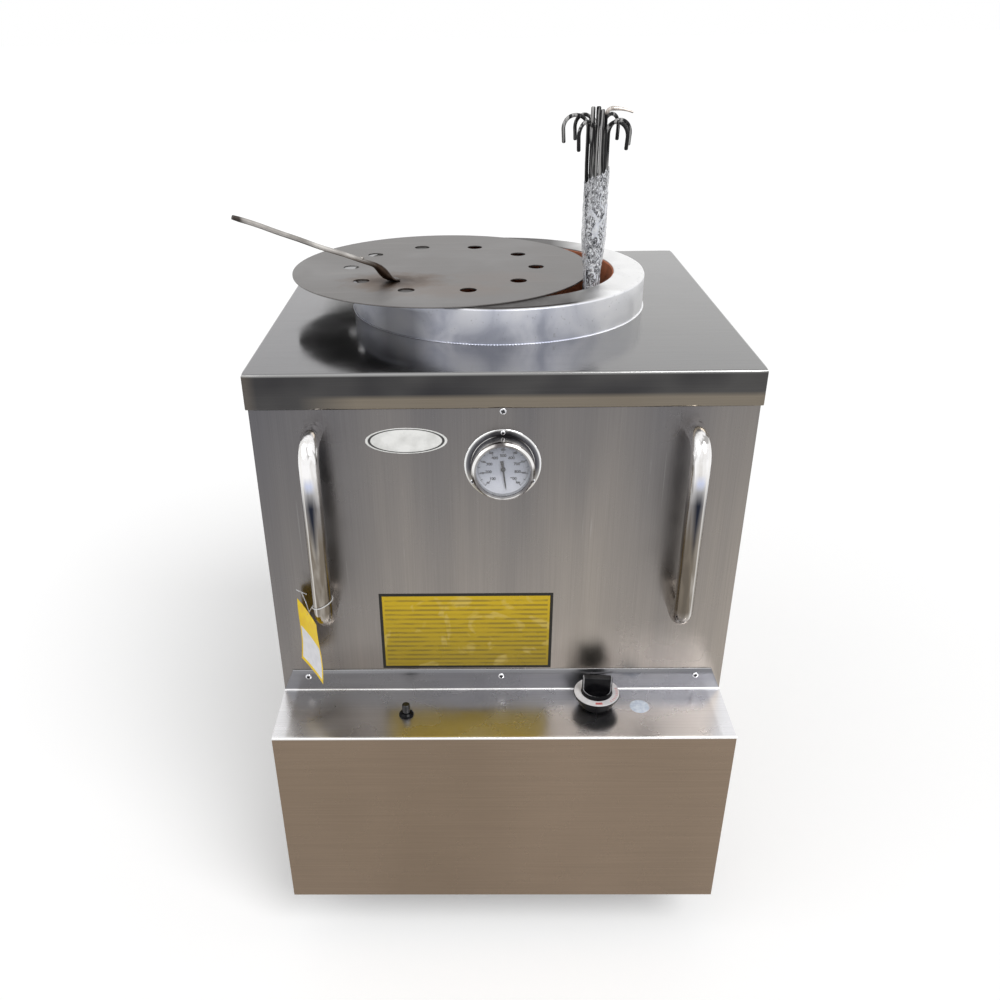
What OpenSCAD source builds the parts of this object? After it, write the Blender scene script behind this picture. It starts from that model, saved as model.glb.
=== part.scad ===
// Gas tandoor oven: a square stainless cabinet on castors round a clay pot.
// +Z up, the front faces -Y, X runs to the viewer's right, the floor is z = 0.
// The origin lies on the floor under the middle of the whole object's box.

/* [Cabinet] */
// Width and depth of the cabinet over its panels
cabinet_w = 702; // [696:1:708]
// Height of the top plate over the floor
oven_h = 984; // [970:1:1000]
// Thickness of the stainless sheet
sheet = 1.5; // [1:0.1:1.8]
// How far the top cover's skirt stands out past the panels
cover_over = 4.5; // [3.5:0.5:7]
// Height of the top cover's straight skirt
skirt_h = 48; // [30:1:60]
// Height of the lip that turns in under the skirt
lip = 4; // [3:0.5:5]
// Leg of the frame's angle rails
rail_leg = 40; // [30:1:45]
// Leg of the corner posts
post_leg = 30; // [20:1:35]
// Thickness of the frame's angles
angle_t = 3; // [2:0.5:4]
// Width of the burner cut-out in the front panel
cutout_w = 380; // [350:5:420]
// Height of the burner cut-out
cutout_h = 160; // [140:5:170]
// Height of the cut-out's upper edge over the burner's tube
cutout_over = 26.5; // [20:0.5:35]
// Radius of the air hole in the base pan
air_hole_r = 150; // [100:5:170]
// Length of a vent slot in the back panel
slot_l = 70; // [40:5:80]
// Height of a vent slot
slot_h = 6; // [4:1:10]
// Distance between neighbouring vent slots in a row
slot_gap = 20; // [12:1:24]
// Number of vent slots in a row
slot_count = 5; // [3:1:6]
// Distance of the slots' middle from the cabinet's middle
slot_left = 60; // [50:1:70]
// Height of the lowest slots over the base rails
slot_up = 90; // [80:1:110]
// Distance of the lowest and highest back screws from the ends of the corner posts
back_screw_in = 70; // [15:1:80]

/* [Mouth and pot] */
// How far the collar reaches out past the clay neck
collar_over = 17; // [15:0.5:24]
// Step from the clay neck out to the collar's inner edge
collar_step = 2; // [1:0.5:4]
// Height of the collar over the top plate
collar_h = 54; // [40:1:60]
// Thickness of the collar's metal
collar_t = 3; // [2:0.5:4]
// Inner radius of the clay pot's neck
neck_r = 187; // [186:0.5:188]
// Thickness of the clay at the neck
neck_t = 34; // [28:1:36]
// Largest outer radius of the clay pot
belly_r = 300; // [290:1:310]
// Thickness of the clay at the belly
belly_t = 38; // [30:1:42]
// Outer radius of the pot's foot
foot_r = 262; // [250:1:270]
// Thickness of the pot's floor
floor_t = 40; // [30:1:50]
// Radius of the flame hole in the pot's floor
flame_r = 105; // [90:1:110]
// Height of the tray that carries the pot over the floor
tray_z = 340; // [330:1:350]
// Thickness of the tray
tray_t = 3; // [2:0.5:4]
// Gap between the insulation and the panels
wool_side = 5.5; // [3:0.5:10]
// Height of the gap left over the insulation
wool_gap = 3; // [1:0.5:6]
// How far the flame deflector reaches past the flame hole
dome_over = 17; // [16:0.5:24]
// Height of the deflector over the pot's floor
dome_up = 26; // [20:1:35]
// Thickness of the deflector
dome_t = 4; // [3:0.5:6]

/* [Control box] */
// Depth of the control box in front of the cabinet
box_d = 117.5; // [112:0.5:125]
// Height of the control box's top over the floor
box_top = 446; // [436:1:456]
// Height of the screwed flange over the box top
flange_h = 40; // [30:1:45]
// Height of the box's lower edge over the cabinet's bottom
box_up = 1; // [0:0.5:10]
// Outer radius of the box's bends
bend_r = 3; // [2:0.5:5]
// Cut-back of the flange's upper corners
flange_cut = 17; // [5:1:25]
// Height of the flange screws over the box top
flange_screw_up = 27; // [15:1:30]
// Distance of the outer flange screws from the cabinet's sides
flange_screw_in = 41; // [30:1:60]

/* [Handles] */
// Distance of each handle from the cabinet's side
handle_in = 87; // [70:1:110]
// Depth of the handles' upper feet under the top plate
handle_down = 84; // [80:1:110]
// Distance between a handle's feet
handle_span = 288; // [240:1:300]
// Distance of the grip's axis from the panel
handle_reach = 56; // [50:1:70]
// Outer radius of the handle's tube
handle_r = 14; // [12:0.5:15]
// Wall of the handle's tube
handle_wall = 2; // [1.5:0.5:3]
// Bend radius of the handle's tube at its axis
handle_bend = 30; // [26:1:34]
// Length of the threaded plug in each foot
plug_l = 14; // [12:1:16]
// Radius of the handle bolts
bolt_r = 4; // [3:0.5:5]

/* [Gauge] */
// Depth of the gauge's middle under the top plate
gauge_down = 138; // [125:1:150]
// Width of the flange round the gauge's bezel
gauge_flange_w = 9.5; // [8:0.5:12]
// Thickness of the bezel round the case
bezel_t = 4; // [4:0.5:6]
// Distance that the bezel stands out of the panel
bezel_out = 27; // [18:0.5:28]
// Outer radius of the gauge's case
case_r = 41; // [40:0.5:42]
// Wall of the gauge's case
case_wall = 2.5; // [1.5:0.5:3]
// Depth of the case behind the panel
case_back = 22; // [18:1:26]
// Radius of the probe
probe_r = 4.5; // [3:0.5:6]
// Length of the probe inside the pot
probe_in = 18; // [10:1:25]
// Length of the pointer from the pivot to its tip
pointer_l = 33; // [28:1:35]
// Length of the pointer's tail
pointer_tail = 13; // [8:1:16]
// Depth of the dial's face under the bezel's rim
dial_down = 12; // [10:0.5:14]

/* [Knob and igniter] */
// Distance of the knob from the middle
knob_x = 148; // [140:0.5:155]
// Distance of the knob from the cabinet's front
knob_y = 42; // [42:0.5:64]
// Radius of the knob's skirt at its top
knob_r = 36; // [34:0.5:40]
// Radius of the knob's skirt at its foot
knob_foot_r = 26; // [22:0.5:30]
// Height of the knob's skirt
knob_skirt_h = 22; // [18:0.5:26]
// Gap under the knob
knob_gap = 4; // [3.5:0.5:6]
// Radius of the knob's hub
knob_hub_r = 24; // [18:0.5:26]
// Height of the knob's hub over its skirt
knob_hub_h = 8; // [6:0.5:10]
// Length of the knob's bar grip
grip_l = 47; // [44:1:56]
// Width of the knob's bar grip
grip_w = 11; // [9:0.5:14]
// Height of the bar grip over the hub
grip_h = 22; // [10:0.5:24]
// Turn of the bar grip at rest
grip_turn = -4; // [-10:1:20]
// Radius of the valve's stem
stem_r = 4; // [3:0.5:5]
// Distance that the knob can be pushed in
knob_travel = 3; // [2:0.5:3]
// Distance of the igniter from the middle
igniter_x = 149.5; // [140:0.5:155]
// Distance of the igniter from the cabinet's front
igniter_y = 63; // [62:0.5:72]
// Radius of the igniter's nut
igniter_nut_r = 11.5; // [10:0.5:13]
// Height of the igniter's nut
igniter_nut_h = 6; // [5:0.5:8]
// Radius of the igniter's button
igniter_button_r = 6.2; // [5.5:0.1:6.4]
// Height of the button over the box top
igniter_button_up = 21; // [14:0.5:23]
// Distance that the button can be pushed in
igniter_travel = 6; // [4:0.5:8]

/* [Gas line] */
// Radius of the gas pipe
pipe_r = 10.65; // [9:0.05:11]
// Height of the gas pipe over the floor
pipe_z = 200; // [190:1:210]
// Radius of the threaded inlet
inlet_r = 10.48; // [9:0.01:10.6]
// Length of the threaded inlet
inlet_l = 25; // [20:1:30]
// Thickness of the inlet's collar behind the back panel
inlet_hex = 10; // [8:1:14]
// How far the inlet's collar stands out past the pipe
inlet_over = 5.35; // [4:0.05:8]
// Radius of the burner's head
burner_r = 85; // [75:1:95]
// Gap between the tray's ledges and the burner's tube
burner_gap = 22; // [12:1:32]
// Radius of the burner's mixing tube
mixer_r = 20; // [16:0.5:24]
// Radius of the feed tube
feed_r = 5; // [4:0.5:6]
// Radius of the igniter's and the thermocouple's leads
lead_r = 1.5; // [1:0.1:1.8]

/* [Lid] */
// Radius of the lid
lid_r = 243; // [236:0.5:245]
// Thickness of the lid
lid_t = 2; // [1.5:0.1:3]
// Gap between the lid's edge and the skewers' film
lid_gap = 0.6; // [0.6:0.1:4]
// Radius of the lid's vent holes
vent_r = 13; // [10:0.5:14]
// Radius of the circle of vent holes
vent_pcd_r = 152.5; // [140:1:170]
// Number of vent holes
vent_count = 10; // [6:1:12]
// The middle of the vents' circle, off the lid's middle
vent_shift = [4, -5];
// Turn of the vents on the lid
vent_turn = -2; // [-5:0.5:5]
// The rod's foot, off the lid's middle
rod_foot_shift = [-72, -90];
// Radius of the lid handle's rod
rod_r = 4.5; // [4:0.5:6]
// Length of the rod in plan
rod_run = 246; // [220:1:255]
// Rise of the rod
rod_rise = 109; // [90:1:130]

/* [Skewers] */
// Number of skewers in the bundle
skewer_count = 11; // [9:1:12]
// Radius of a skewer
skewer_r = 2.75; // [2.5:0.05:3.4]
// Gap between neighbouring skewers
skewer_gap = 0.4; // [0.4:0.05:1]
// Gap between the skewers' film and the clay neck
bundle_gap = 2.6; // [1:0.1:8]
// Length of a skewer's straight shank
skewer_l = 870; // [840:2:880]
// Bend radius of a skewer's hook
hook_r = 18; // [14:0.5:20]
// Length of a hook's straight end
hook_l = 20; // [15:1:30]
// Thickness of the film round the bundle
film_t = 0.4; // [0.3:0.1:0.6]
// Height of the film's top over the collar
film_up = 166; // [140:1:180]
// Depth of the film's foot under the collar's top
film_down = 120; // [60:5:200]

/* [Badge, label and tag] */
// Distance of the badge to the left of the middle
badge_left = 135; // [125:1:150]
// Depth of the badge's middle under the top plate
badge_down = 100; // [85:1:110]
// Width of the blank oval badge
badge_w = 115; // [100:1:130]
// Height of the badge
badge_h = 39; // [30:1:45]
// Width of the blank label
label_w = 267; // [240:1:280]
// Height of the label
label_h = 141; // [120:1:150]
// Distance of the label's middle to the left of the middle
label_left = 55; // [40:1:70]
// Gap between the label and the control box's flange
label_gap = 2.5; // [2:0.5:10]
// Thickness of the badge, the label and the tag
card_t = 0.5; // [0.4:0.1:0.8]
// Width of the hang tag
tag_w = 68; // [60:1:70]
// Height of the hang tag
tag_h = 123; // [110:1:150]
// Depth of the tag's hole under its upper edge
tag_hole_down = 9; // [7:0.5:12]
// Height of the tag's hole over the handle's lower foot
tag_up = 9; // [5:1:40]

/* [Castors] */
// Distance of the castors from the cabinet's sides
castor_in = 73; // [60:1:90]
// Radius of a castor's wheel
wheel_r = 37.5; // [36:0.5:38]
// Width of a castor's wheel
wheel_w = 26; // [20:1:30]
// Radius of a castor's axle
axle_r = 5; // [4:0.5:6]
// Distance of the wheel's axle behind the swivel's axis
castor_trail = 28; // [20:1:34]
// Height of a castor's plate over the top of its wheel
castor_head = 25; // [23:0.5:40]
// Half length and half width of a castor's plate
castor_plate = [45, 35];
// Thickness of a castor's plate
castor_plate_t = 4; // [3:0.5:5]
// Radius of a castor's kingpin
kingpin_r = 6; // [5:0.5:8]

/* [Hidden] */
$fn = 64;
// Running clearance between round parts that turn or slide in each other
running = 0.05;
// Clearance between parts that fit loosely
loose = 0.3;
// Overlap of joined shapes and overshoot of cutting shapes
cut = 1;

half = cabinet_w / 2;
front_y = -half;
cover_w = cabinet_w + 2 * cover_over;
castor_h = 2 * wheel_r + castor_head;
castor_x = half - castor_in;
pan_top = castor_h + sheet;
panel_top = oven_h - sheet;
panel_h = panel_top - pan_top;
inner = half - sheet;
rail_top = pan_top + rail_leg;
box_y = front_y - box_d;
box_low = castor_h + box_up;

collar_top = oven_h + collar_h;
neck_top = collar_top - collar_t;
neck_out = neck_r + neck_t;
collar_r = neck_out + collar_over;
collar_in_r = neck_r + collar_step;
wool_r = inner - wool_side;
pot_floor = tray_z + floor_t;
tray_low = tray_z - tray_t;
dome_r = flame_r + dome_over;
burner_z = tray_low - post_leg - burner_gap - mixer_r;
cutout_top = burner_z + mixer_r + cutout_over;

handle_x = half - handle_in;
handle_top = oven_h - handle_down;
gauge_z = oven_h - gauge_down;
bezel_r = case_r + bezel_t;
gauge_flange_r = bezel_r + gauge_flange_w;
gauge_screw_pcd_r = bezel_r + gauge_flange_w / 2;

knob_at = [knob_x, front_y - knob_y];
igniter_at = [-igniter_x, front_y - igniter_y];
knob_z = box_top + knob_gap;
knob_skirt_top = knob_z + knob_skirt_h;
knob_hub_top = knob_skirt_top + knob_hub_h;
scale_t = 1.5;
scale_in = knob_hub_r + loose;

// The valve hangs under the box top and its plunger carries the knob's stem
valve_w = 2 * pipe_r + 10.7;
valve_d = 2 * pipe_r + 8.7;
valve_top = box_top - sheet - 6;
valve_h = 46;
valve_low = valve_top - valve_h;
plunger_r = stem_r + 2;
plunger_h = 7;
plunger_top = valve_top - 4;
stem_top = knob_skirt_top + 3;
feed_z = valve_low + 24;
feed_turn_r = 4 * feed_r;
injector_w = 18;
pipe_turn_r = pipe_r + 19.35;
inlet_in = 11;

screw_head_r = 4.5;
screw_head_h = 2.4;
screw_shank_r = 2;
screw_shank_l = 6;
screw_fit = 0.15;
small_head_r = 3.4;
small_head_h = 2;
small_shank_r = 1.5;
small_shank_l = 6;
flange_screws = [flange_screw_in - half, 0, half - flange_screw_in];
back_screw_low = rail_top + back_screw_in;
back_screw_high = panel_top - back_screw_in;
back_screws = [for (side = [-1, 1]) for (share = [0, 0.5, 1])
    [side * (inner - post_leg / 2), back_screw_low + share * (back_screw_high - back_screw_low)]];
skirt_screw_z = oven_h - skirt_h - lip - screw_head_r - 0.5;

// The skewers stand just inside the mouth, at the front on the right
skewer_pitch = 2 * skewer_r + skewer_gap;
bundle_r = skewer_pitch * sqrt(3) + skewer_r;
film_in = bundle_r + 0.2;
film_r = film_in + film_t;
bundle_turn = -33;
bundle_d = neck_r - bundle_gap - film_r;
bundle_at = bundle_d * [cos(bundle_turn), sin(bundle_turn)];
// The lid's edge lies beside the skewers, seen from the lid's middle in this direction
lid_turn = -22.9;
lid_at = bundle_at - (lid_r + lid_gap + film_r) * [cos(lid_turn), sin(lid_turn)];
lid_top = collar_top + lid_t;
// The rod is welded off the lid's middle and rises to the front on the left
rod_foot = lid_at + rod_foot_shift;
rod_turn = 212;
rod_angle = atan2(rod_rise, rod_run);
rod_lift = 28;
tip_x = rod_foot[0] + rod_run * cos(rod_turn) - rod_r * sqrt(1 - pow(cos(rod_angle) * cos(rod_turn), 2));

back_reach = half + inlet_hex + inlet_l;
// Everything is drawn round the cabinet's axis and then placed
place = [(-tip_x - cover_w / 2) / 2, (-box_y - back_reach) / 2, 0];

pot_outer = curve([foot_r, tray_z], [belly_r + 22, tray_z + 170], [belly_r + 12, oven_h - 190],
    [neck_out, oven_h - 30], 14);
pot_inner = curve([neck_r, oven_h - 40], [belly_r - belly_t + 14, oven_h - 200],
    [belly_r - belly_t + 22, pot_floor + 150], [foot_r - 44, pot_floor], 14);
probe_tip = pot_wall_r() - probe_in;

// The pilot stands beside the burner, with the spark's and the thermocouple's tips over it
pilot_x = burner_r + 6;
pilot_foot_z = burner_z - 10;
igniter_route = [
    [igniter_at[0], igniter_at[1], 394], [igniter_at[0], igniter_at[1], 360], [-147, -413, 320], [-135, -408, 280], [-112, -396, 248],
    [-80, -384, 228], [-52, -366, 217], [-40, -340, 212], [-38, -300, 210], [-30, -250, 210],
    [-8, -200, 210], [24, -150, 210], [54, -105, 211], [76, -62, 214], [88, -30, 222], [pilot_x, -10, 234],
    [pilot_x, 0, 246], [pilot_x, 0, pilot_foot_z]];
thermocouple_route = [
    [pilot_x, 6, pilot_foot_z], [pilot_x, 7, 244], [96, 2, 230], [106, -20, 222], [116, -60, 221],
    [122, -120, 221], [124, -190, 221], [124, -260, 222], [123, -330, 225], [118, -370, 236],
    [112, -392, 262],
    [110, -400, 300], [110, -402, 345], [113, -402, 380], [120, -402, 396], [126, -402, 400],
    [knob_at[0] - valve_w / 2, -402, 400]];

// Points of a smooth curve from a to d, drawn towards b and c
function curve(a, b, c, d, n) = [for (i = [0 : n]) let (t = i / n)
    a * pow(1 - t, 3) + b * 3 * t * pow(1 - t, 2) + c * 3 * t * t * (1 - t) + d * pow(t, 3)];

// Inner radius of the pot at the probe's height
function pot_wall_r() = lookup(gauge_z, [for (p = pot_inner) [p[1], p[0]]]);

// Direction of a route at a point
function along(route, i) = let (a = route[max(i - 1, 0)], b = route[min(i + 1, len(route) - 1)])
    (b - a) / norm(b - a);

// A closed round tube along a route, with a ring of points at each of its points
module sweep(route, r, sides = 8) {
    n = len(route);
    rings = [for (i = [0 : n - 1]) let (
        t = along(route, i),
        side = abs(t[0]) < 0.8 ? [1, 0, 0] : [0, 1, 0],
        u = cross(t, side) / norm(cross(t, side)),
        v = cross(t, u))
        for (k = [0 : sides - 1]) route[i] + r * (u * cos(k * 360 / sides) + v * sin(k * 360 / sides))];
    polyhedron(points = rings, faces = concat(
        [[for (k = [0 : sides - 1]) k]],
        [[for (k = [sides - 1 : -1 : 0]) (n - 1) * sides + k]],
        [for (i = [0 : n - 2]) for (k = [0 : sides - 1])
            let (a = i * sides, b = a + sides, m = (k + 1) % sides) [a + k, b + k, b + m, a + m]]));
}

// A block from its lowest to its highest corner
module block(low, high) {
    translate(low) cube(high - low);
}

// A round bar from a point along an axis: 0 is X, 1 is Y, 2 is Z
module bar(at, axis, r, l) {
    translate(at)
        rotate(axis == 0 ? [0, 90, 0] : axis == 1 ? [-90, 0, 0] : [0, 0, 0])
            cylinder(r = r, h = l);
}

// A quarter bend of a round bar, in the XZ plane, from +X round to +Z about the origin
module bend(r, bend_radius) {
    rotate([90, 0, 0])
        rotate_extrude(angle = 90) translate([bend_radius, 0]) circle(r = r);
}

// Everything in front of the panel turns about this axis: its Z points out of the front
module out_of_front(x, z, y = front_y) {
    translate([x, y, z]) rotate([90, 0, 0]) children();
}

module placed() {
    translate(place) children();
}

// A pan-head screw whose head stands on z = 0 and whose shank points down
module screw(head_r, head_h, shank_r, shank_l) {
    translate([0, 0, -shank_l]) cylinder(r = shank_r, h = shank_l + cut / 2);
    difference() {
        union() {
            cylinder(r = head_r, h = head_h * 0.6);
            translate([0, 0, head_h * 0.6])
                cylinder(r1 = head_r, r2 = head_r * 0.7, h = head_h * 0.4, $fn = 32);
        }
        for (a = [0, 90]) rotate(a) translate([0, 0, head_h])
            cube([head_r, head_r * 0.18, head_h * 0.7], center = true);
    }
}

module front_panel() color("silver") placed() difference() {
    block([-half, front_y, pan_top], [half, front_y + sheet, panel_top]);
    block([-cutout_w / 2, front_y - cut, cutout_top - cutout_h],
        [cutout_w / 2, front_y + sheet + cut, cutout_top]);
    bar([0, front_y - cut, gauge_z], 1, case_r + 1, sheet + 2 * cut);
    for (x = [-handle_x, handle_x]) for (z = [handle_top, handle_top - handle_span])
        bar([x, front_y - cut, z], 1, bolt_r + loose, sheet + 2 * cut);
    for (x = flange_screws)
        bar([x, front_y - cut, box_top + flange_screw_up], 1, screw_shank_r + screw_fit, sheet + 2 * cut);
    bar([0, front_y - cut, skirt_screw_z], 1, screw_shank_r + screw_fit, sheet + 2 * cut);
    for (a = [90, 210, 330])
        bar([gauge_screw_pcd_r * cos(a), front_y - cut, gauge_z + gauge_screw_pcd_r * sin(a)], 1,
            small_shank_r + screw_fit, sheet + 2 * cut);
}

module side_panel(side) {
    translate([side * (half - sheet / 2), 0, pan_top + panel_h / 2])
        cube([sheet, cabinet_w - 2 * sheet, panel_h], center = true);
}
module side_panel_left() color("silver") placed() side_panel(-1);
module side_panel_right() color("silver") placed() side_panel(1);

module back_panel() color("silver") placed() difference() {
    block([-half, half - sheet, pan_top], [half, half, panel_top]);
    bar([knob_x, half - sheet - cut, pipe_z], 1, pipe_r + loose, sheet + 2 * cut);
    for (row = [0 : 2]) for (i = [0 : slot_count - 1]) let (
        x = (i - (slot_count - 1) / 2) * (slot_l + slot_gap) - slot_left,
        z = rail_top + slot_up + row * 3 * slot_h)
        translate([x, half, z]) cube([slot_l, 2 * sheet + cut, slot_h], center = true);
    for (p = back_screws)
        bar([p[0], half - sheet - cut, p[1]], 1, screw_shank_r + screw_fit, sheet + 2 * cut);
}

module base_pan() color("silver") placed() difference() {
    block([-half, -half, castor_h], [half, half, pan_top]);
    translate([0, 0, castor_h - cut]) cylinder(r = air_hole_r, h = sheet + 2 * cut);
}

// Root gap of the welds between the base rails, and the gap at the ledges' ends
weld_gap = 0.2;
ledge_gap = 2;

// An angle along X: one leg lies down towards +Y, the other stands, both from the origin
module angle_bar(l, leg, stands = 1) {
    translate([-l / 2, 0, 0]) cube([l, leg, angle_t]);
    translate([-l / 2, 0, stands > 0 ? 0 : angle_t - leg]) cube([l, angle_t, leg]);
}

module frame_rails() color("dimgray") placed() {
    for (turn = [0, 180]) {
        rotate(turn) translate([0, -inner, pan_top]) angle_bar(2 * inner, rail_leg);
        rotate(turn + 90) translate([0, -inner, pan_top])
            angle_bar(2 * (inner - rail_leg - weld_gap), rail_leg);
    }
    for (turn = [0, 90, 180, 270])
        rotate(turn) translate([0, -inner, tray_low - angle_t])
            angle_bar(2 * (inner - post_leg - ledge_gap), post_leg, -1);
}

module corner_posts() color("dimgray") placed() difference() {
    for (turn = [0, 90, 180, 270]) rotate(turn) translate([-inner, -inner, rail_top]) {
        cube([post_leg, angle_t, panel_top - rail_top]);
        cube([angle_t, post_leg, panel_top - rail_top]);
    }
    for (p = back_screws)
        bar([p[0], inner - angle_t - cut, p[1]], 1, screw_shank_r + screw_fit, angle_t + 2 * cut);
}

// The skirt's lip slopes in and ends just short of the panels
skirt_low = oven_h - skirt_h;
lip_in = cover_over - loose;
lip_edge = 0.7 * sheet;
module top_cover() color("silver") placed() {
    difference() {
        block([-cover_w / 2, -cover_w / 2, panel_top], [cover_w / 2, cover_w / 2, oven_h]);
        translate([0, 0, panel_top - cut])
            cylinder(r = neck_out + wool_neck + 1, h = sheet + 2 * cut, $fn = 96);
    }
    for (turn = [0, 90, 180, 270]) rotate(turn) intersection() {
        translate([-cover_w / 2, -cover_w / 2, 0]) rotate([90, 0, 90]) linear_extrude(cover_w)
            polygon([[0, panel_top], [0, skirt_low], [lip_in - lip_edge, skirt_low - lip],
                [lip_in, skirt_low - lip + lip_edge], [sheet, skirt_low + lip_edge / 2], [sheet, panel_top]]);
        linear_extrude(oven_h + cut) polygon([[0, 0], [-cover_w, -cover_w], [cover_w, -cover_w]]);
    }
}

collar_round = 4;
module collar_ring() color("gainsboro") placed() rotate_extrude($fn = 128)
    polygon([[collar_r - collar_t, oven_h], [collar_r, oven_h], [collar_r, collar_top - collar_round],
        [collar_r - 0.3 * collar_round, collar_top - 0.3 * collar_round],
        [collar_r - collar_round, collar_top], [collar_in_r + 1, collar_top],
        [collar_in_r, collar_top - 1], [collar_in_r, neck_top], [collar_r - collar_t, neck_top]]);

module clay_pot() color("sienna") placed() difference() {
    rotate_extrude($fn = 96)
        polygon(concat([[flame_r, tray_z]], pot_outer, [[neck_out, neck_top], [neck_r, neck_top]],
            pot_inner, [[flame_r, pot_floor]]));
    bar([0, -belly_r, gauge_z], 1, probe_r + 1, belly_r - 100);
}

// The wool reaches this far out round the clay neck
wool_neck = 6;
module insulation() color("khaki") placed() difference() {
    rotate_extrude($fn = 96)
        polygon(concat([[wool_r, tray_z]], [for (p = pot_outer) p + [cut, 0]],
            [[neck_out + cut, neck_top], [neck_out + wool_neck, neck_top],
            [neck_out + wool_neck, panel_top - wool_gap], [wool_r, panel_top - wool_gap]]));
    bar([0, -wool_r - cut, gauge_z], 1, case_r + 1, wool_r - (half - case_back) + 3 * cut);
    bar([0, -wool_r - cut, gauge_z], 1, probe_r + 1, wool_r - 100);
}

module pot_tray() color("gray") placed() difference() {
    block([loose - inner, loose - inner, tray_low], [inner - loose, inner - loose, tray_z]);
    corner = inner - post_leg - ledge_gap;
    for (turn = [0, 90, 180, 270]) rotate(turn)
        block([corner, corner, tray_low - cut], [half, half, tray_z + cut]);
    translate([0, 0, tray_low - cut]) cylinder(r = flame_r + 10, h = tray_t + 2 * cut);
}

// The mixing tube's mouth opens behind the injector
mouth_y = knob_at[1] + 15.5;
module burner() color("dimgray") placed() difference() {
    union() {
        translate([0, 0, burner_z - mixer_r]) cylinder(r = burner_r, h = 2 * mixer_r);
        bar([0, mouth_y + 14, burner_z], 1, mixer_r, -mouth_y - 14);
        translate([0, mouth_y, burner_z]) rotate([-90, 0, 0])
            cylinder(r1 = mixer_r + 9, r2 = mixer_r, h = 24);
    }
    translate([0, 0, burner_z - mixer_r + 5]) cylinder(r = burner_r - 6, h = 2 * mixer_r - 10);
    bar([0, mouth_y - 16, burner_z], 1, mixer_r - 4, -mouth_y - 24);
    translate([0, mouth_y - 1, burner_z]) rotate([-90, 0, 0])
        cylinder(r1 = mixer_r + 6, r2 = mixer_r - 4, h = 22);
    for (ring = [[burner_r - 14, 24], [burner_r - 38, 16]]) for (i = [0 : ring[1] - 1])
        rotate(i * 360 / ring[1]) translate([ring[0], 0, burner_z + mixer_r - 6])
            cylinder(r = 2.5, h = 10, $fn = 16);
}

// A flat bar across the base rails and a post under the burner's head
stand_t = 4;
stand_w = 40;
stand_post_r = 12;
module burner_stand() color("dimgray") placed() {
    block([-inner, -stand_w / 2, rail_top], [inner, stand_w / 2, rail_top + stand_t]);
    translate([0, 0, rail_top + stand_t])
        cylinder(r = stand_post_r, h = burner_z - mixer_r - rail_top - stand_t);
}

module injector() color("goldenrod") placed() translate([0, knob_at[1], burner_z]) {
    cube(injector_w, center = true);
    bar([0, injector_w / 2 - cut, 0], 1, 5, 22);
}

// A dished plate on three legs, which stand on the pot's floor round the flame hole
dome_side = [[0, 14], [dome_r - 40, 8], [dome_r, 0]];
module flame_deflector() color("gray") placed() {
    translate([0, 0, pot_floor + dome_up]) rotate_extrude()
        polygon(concat(dome_side, [for (i = [2 : -1 : 0]) dome_side[i] - [0, dome_t]]));
    for (a = [30, 150, 270]) rotate(a) translate([flame_r + 9, 0, pot_floor])
        cylinder(r = 6, h = dome_up - 1);
}

module gas_pipe() color("gray") placed() translate([knob_x, knob_at[1], 0]) {
    bar([0, pipe_turn_r, pipe_z], 1, pipe_r, half - inlet_in - knob_at[1] - pipe_turn_r);
    translate([0, pipe_turn_r, pipe_z + pipe_turn_r]) rotate([0, 90, -90]) bend(pipe_r, pipe_turn_r);
    bar([0, 0, pipe_z + pipe_turn_r], 2, pipe_r, valve_low - pipe_z - pipe_turn_r);
}

module gas_inlet() color("goldenrod") placed() {
    bar([knob_x, half - inlet_in, pipe_z], 1, pipe_r - 0.1, inlet_in);
    bar([knob_x, half, pipe_z], 1, pipe_r + inlet_over, inlet_hex);
    bar([knob_x, half + inlet_hex - cut, pipe_z], 1, inlet_r, inlet_l + cut);
}

module gas_valve() color("gray") placed() at_knob(0) difference() {
    block([-valve_w / 2, -valve_d / 2, valve_low], [valve_w / 2, valve_d / 2, valve_top]);
    translate([0, 0, plunger_top - plunger_h - knob_travel])
        cylinder(r = plunger_r + running, h = valve_h);
}

module valve_plunger() color("goldenrod") placed()
    at_knob(plunger_top - plunger_h) cylinder(r = plunger_r, h = plunger_h);

module valve_stem() color("silver") placed()
    at_knob(plunger_top) cylinder(r = stem_r, h = stem_top - plunger_top);

module feed_tube() color("chocolate") placed() {
    bar([feed_turn_r, knob_at[1], feed_z], 0, feed_r, knob_at[0] - valve_w / 2 - feed_turn_r);
    translate([feed_turn_r, knob_at[1], feed_z - feed_turn_r]) mirror([1, 0, 0]) bend(feed_r, feed_turn_r);
    bar([0, knob_at[1], burner_z + injector_w / 2], 2, feed_r,
        feed_z - feed_turn_r - burner_z - injector_w / 2);
}

module at_knob(z) {
    translate([knob_at[0], knob_at[1], z]) children();
}

module knob() color([0.08, 0.08, 0.08]) placed() at_knob(0) difference() {
    union() {
        translate([0, 0, knob_z]) cylinder(r1 = knob_foot_r, r2 = knob_r, h = knob_skirt_h);
        translate([0, 0, knob_skirt_top - cut]) cylinder(r = knob_hub_r, h = knob_hub_h + cut);
        rotate(grip_turn) translate([0, 0, knob_hub_top - cut]) linear_extrude(grip_h + cut) {
            square([grip_l - grip_w, grip_w], center = true);
            for (side = [-1, 1]) translate([side * (grip_l - grip_w) / 2, 0]) circle(r = grip_w / 2);
        }
    }
    translate([0, 0, knob_z - cut]) cylinder(r = stem_r + running, h = stem_top - knob_z + cut);
}

module knob_scale_ring() color("white") placed() at_knob(knob_skirt_top) difference() {
    cylinder(r = knob_r - 1, h = scale_t);
    translate([0, 0, -cut]) cylinder(r = scale_in, h = scale_t + 2 * cut);
}

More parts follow.
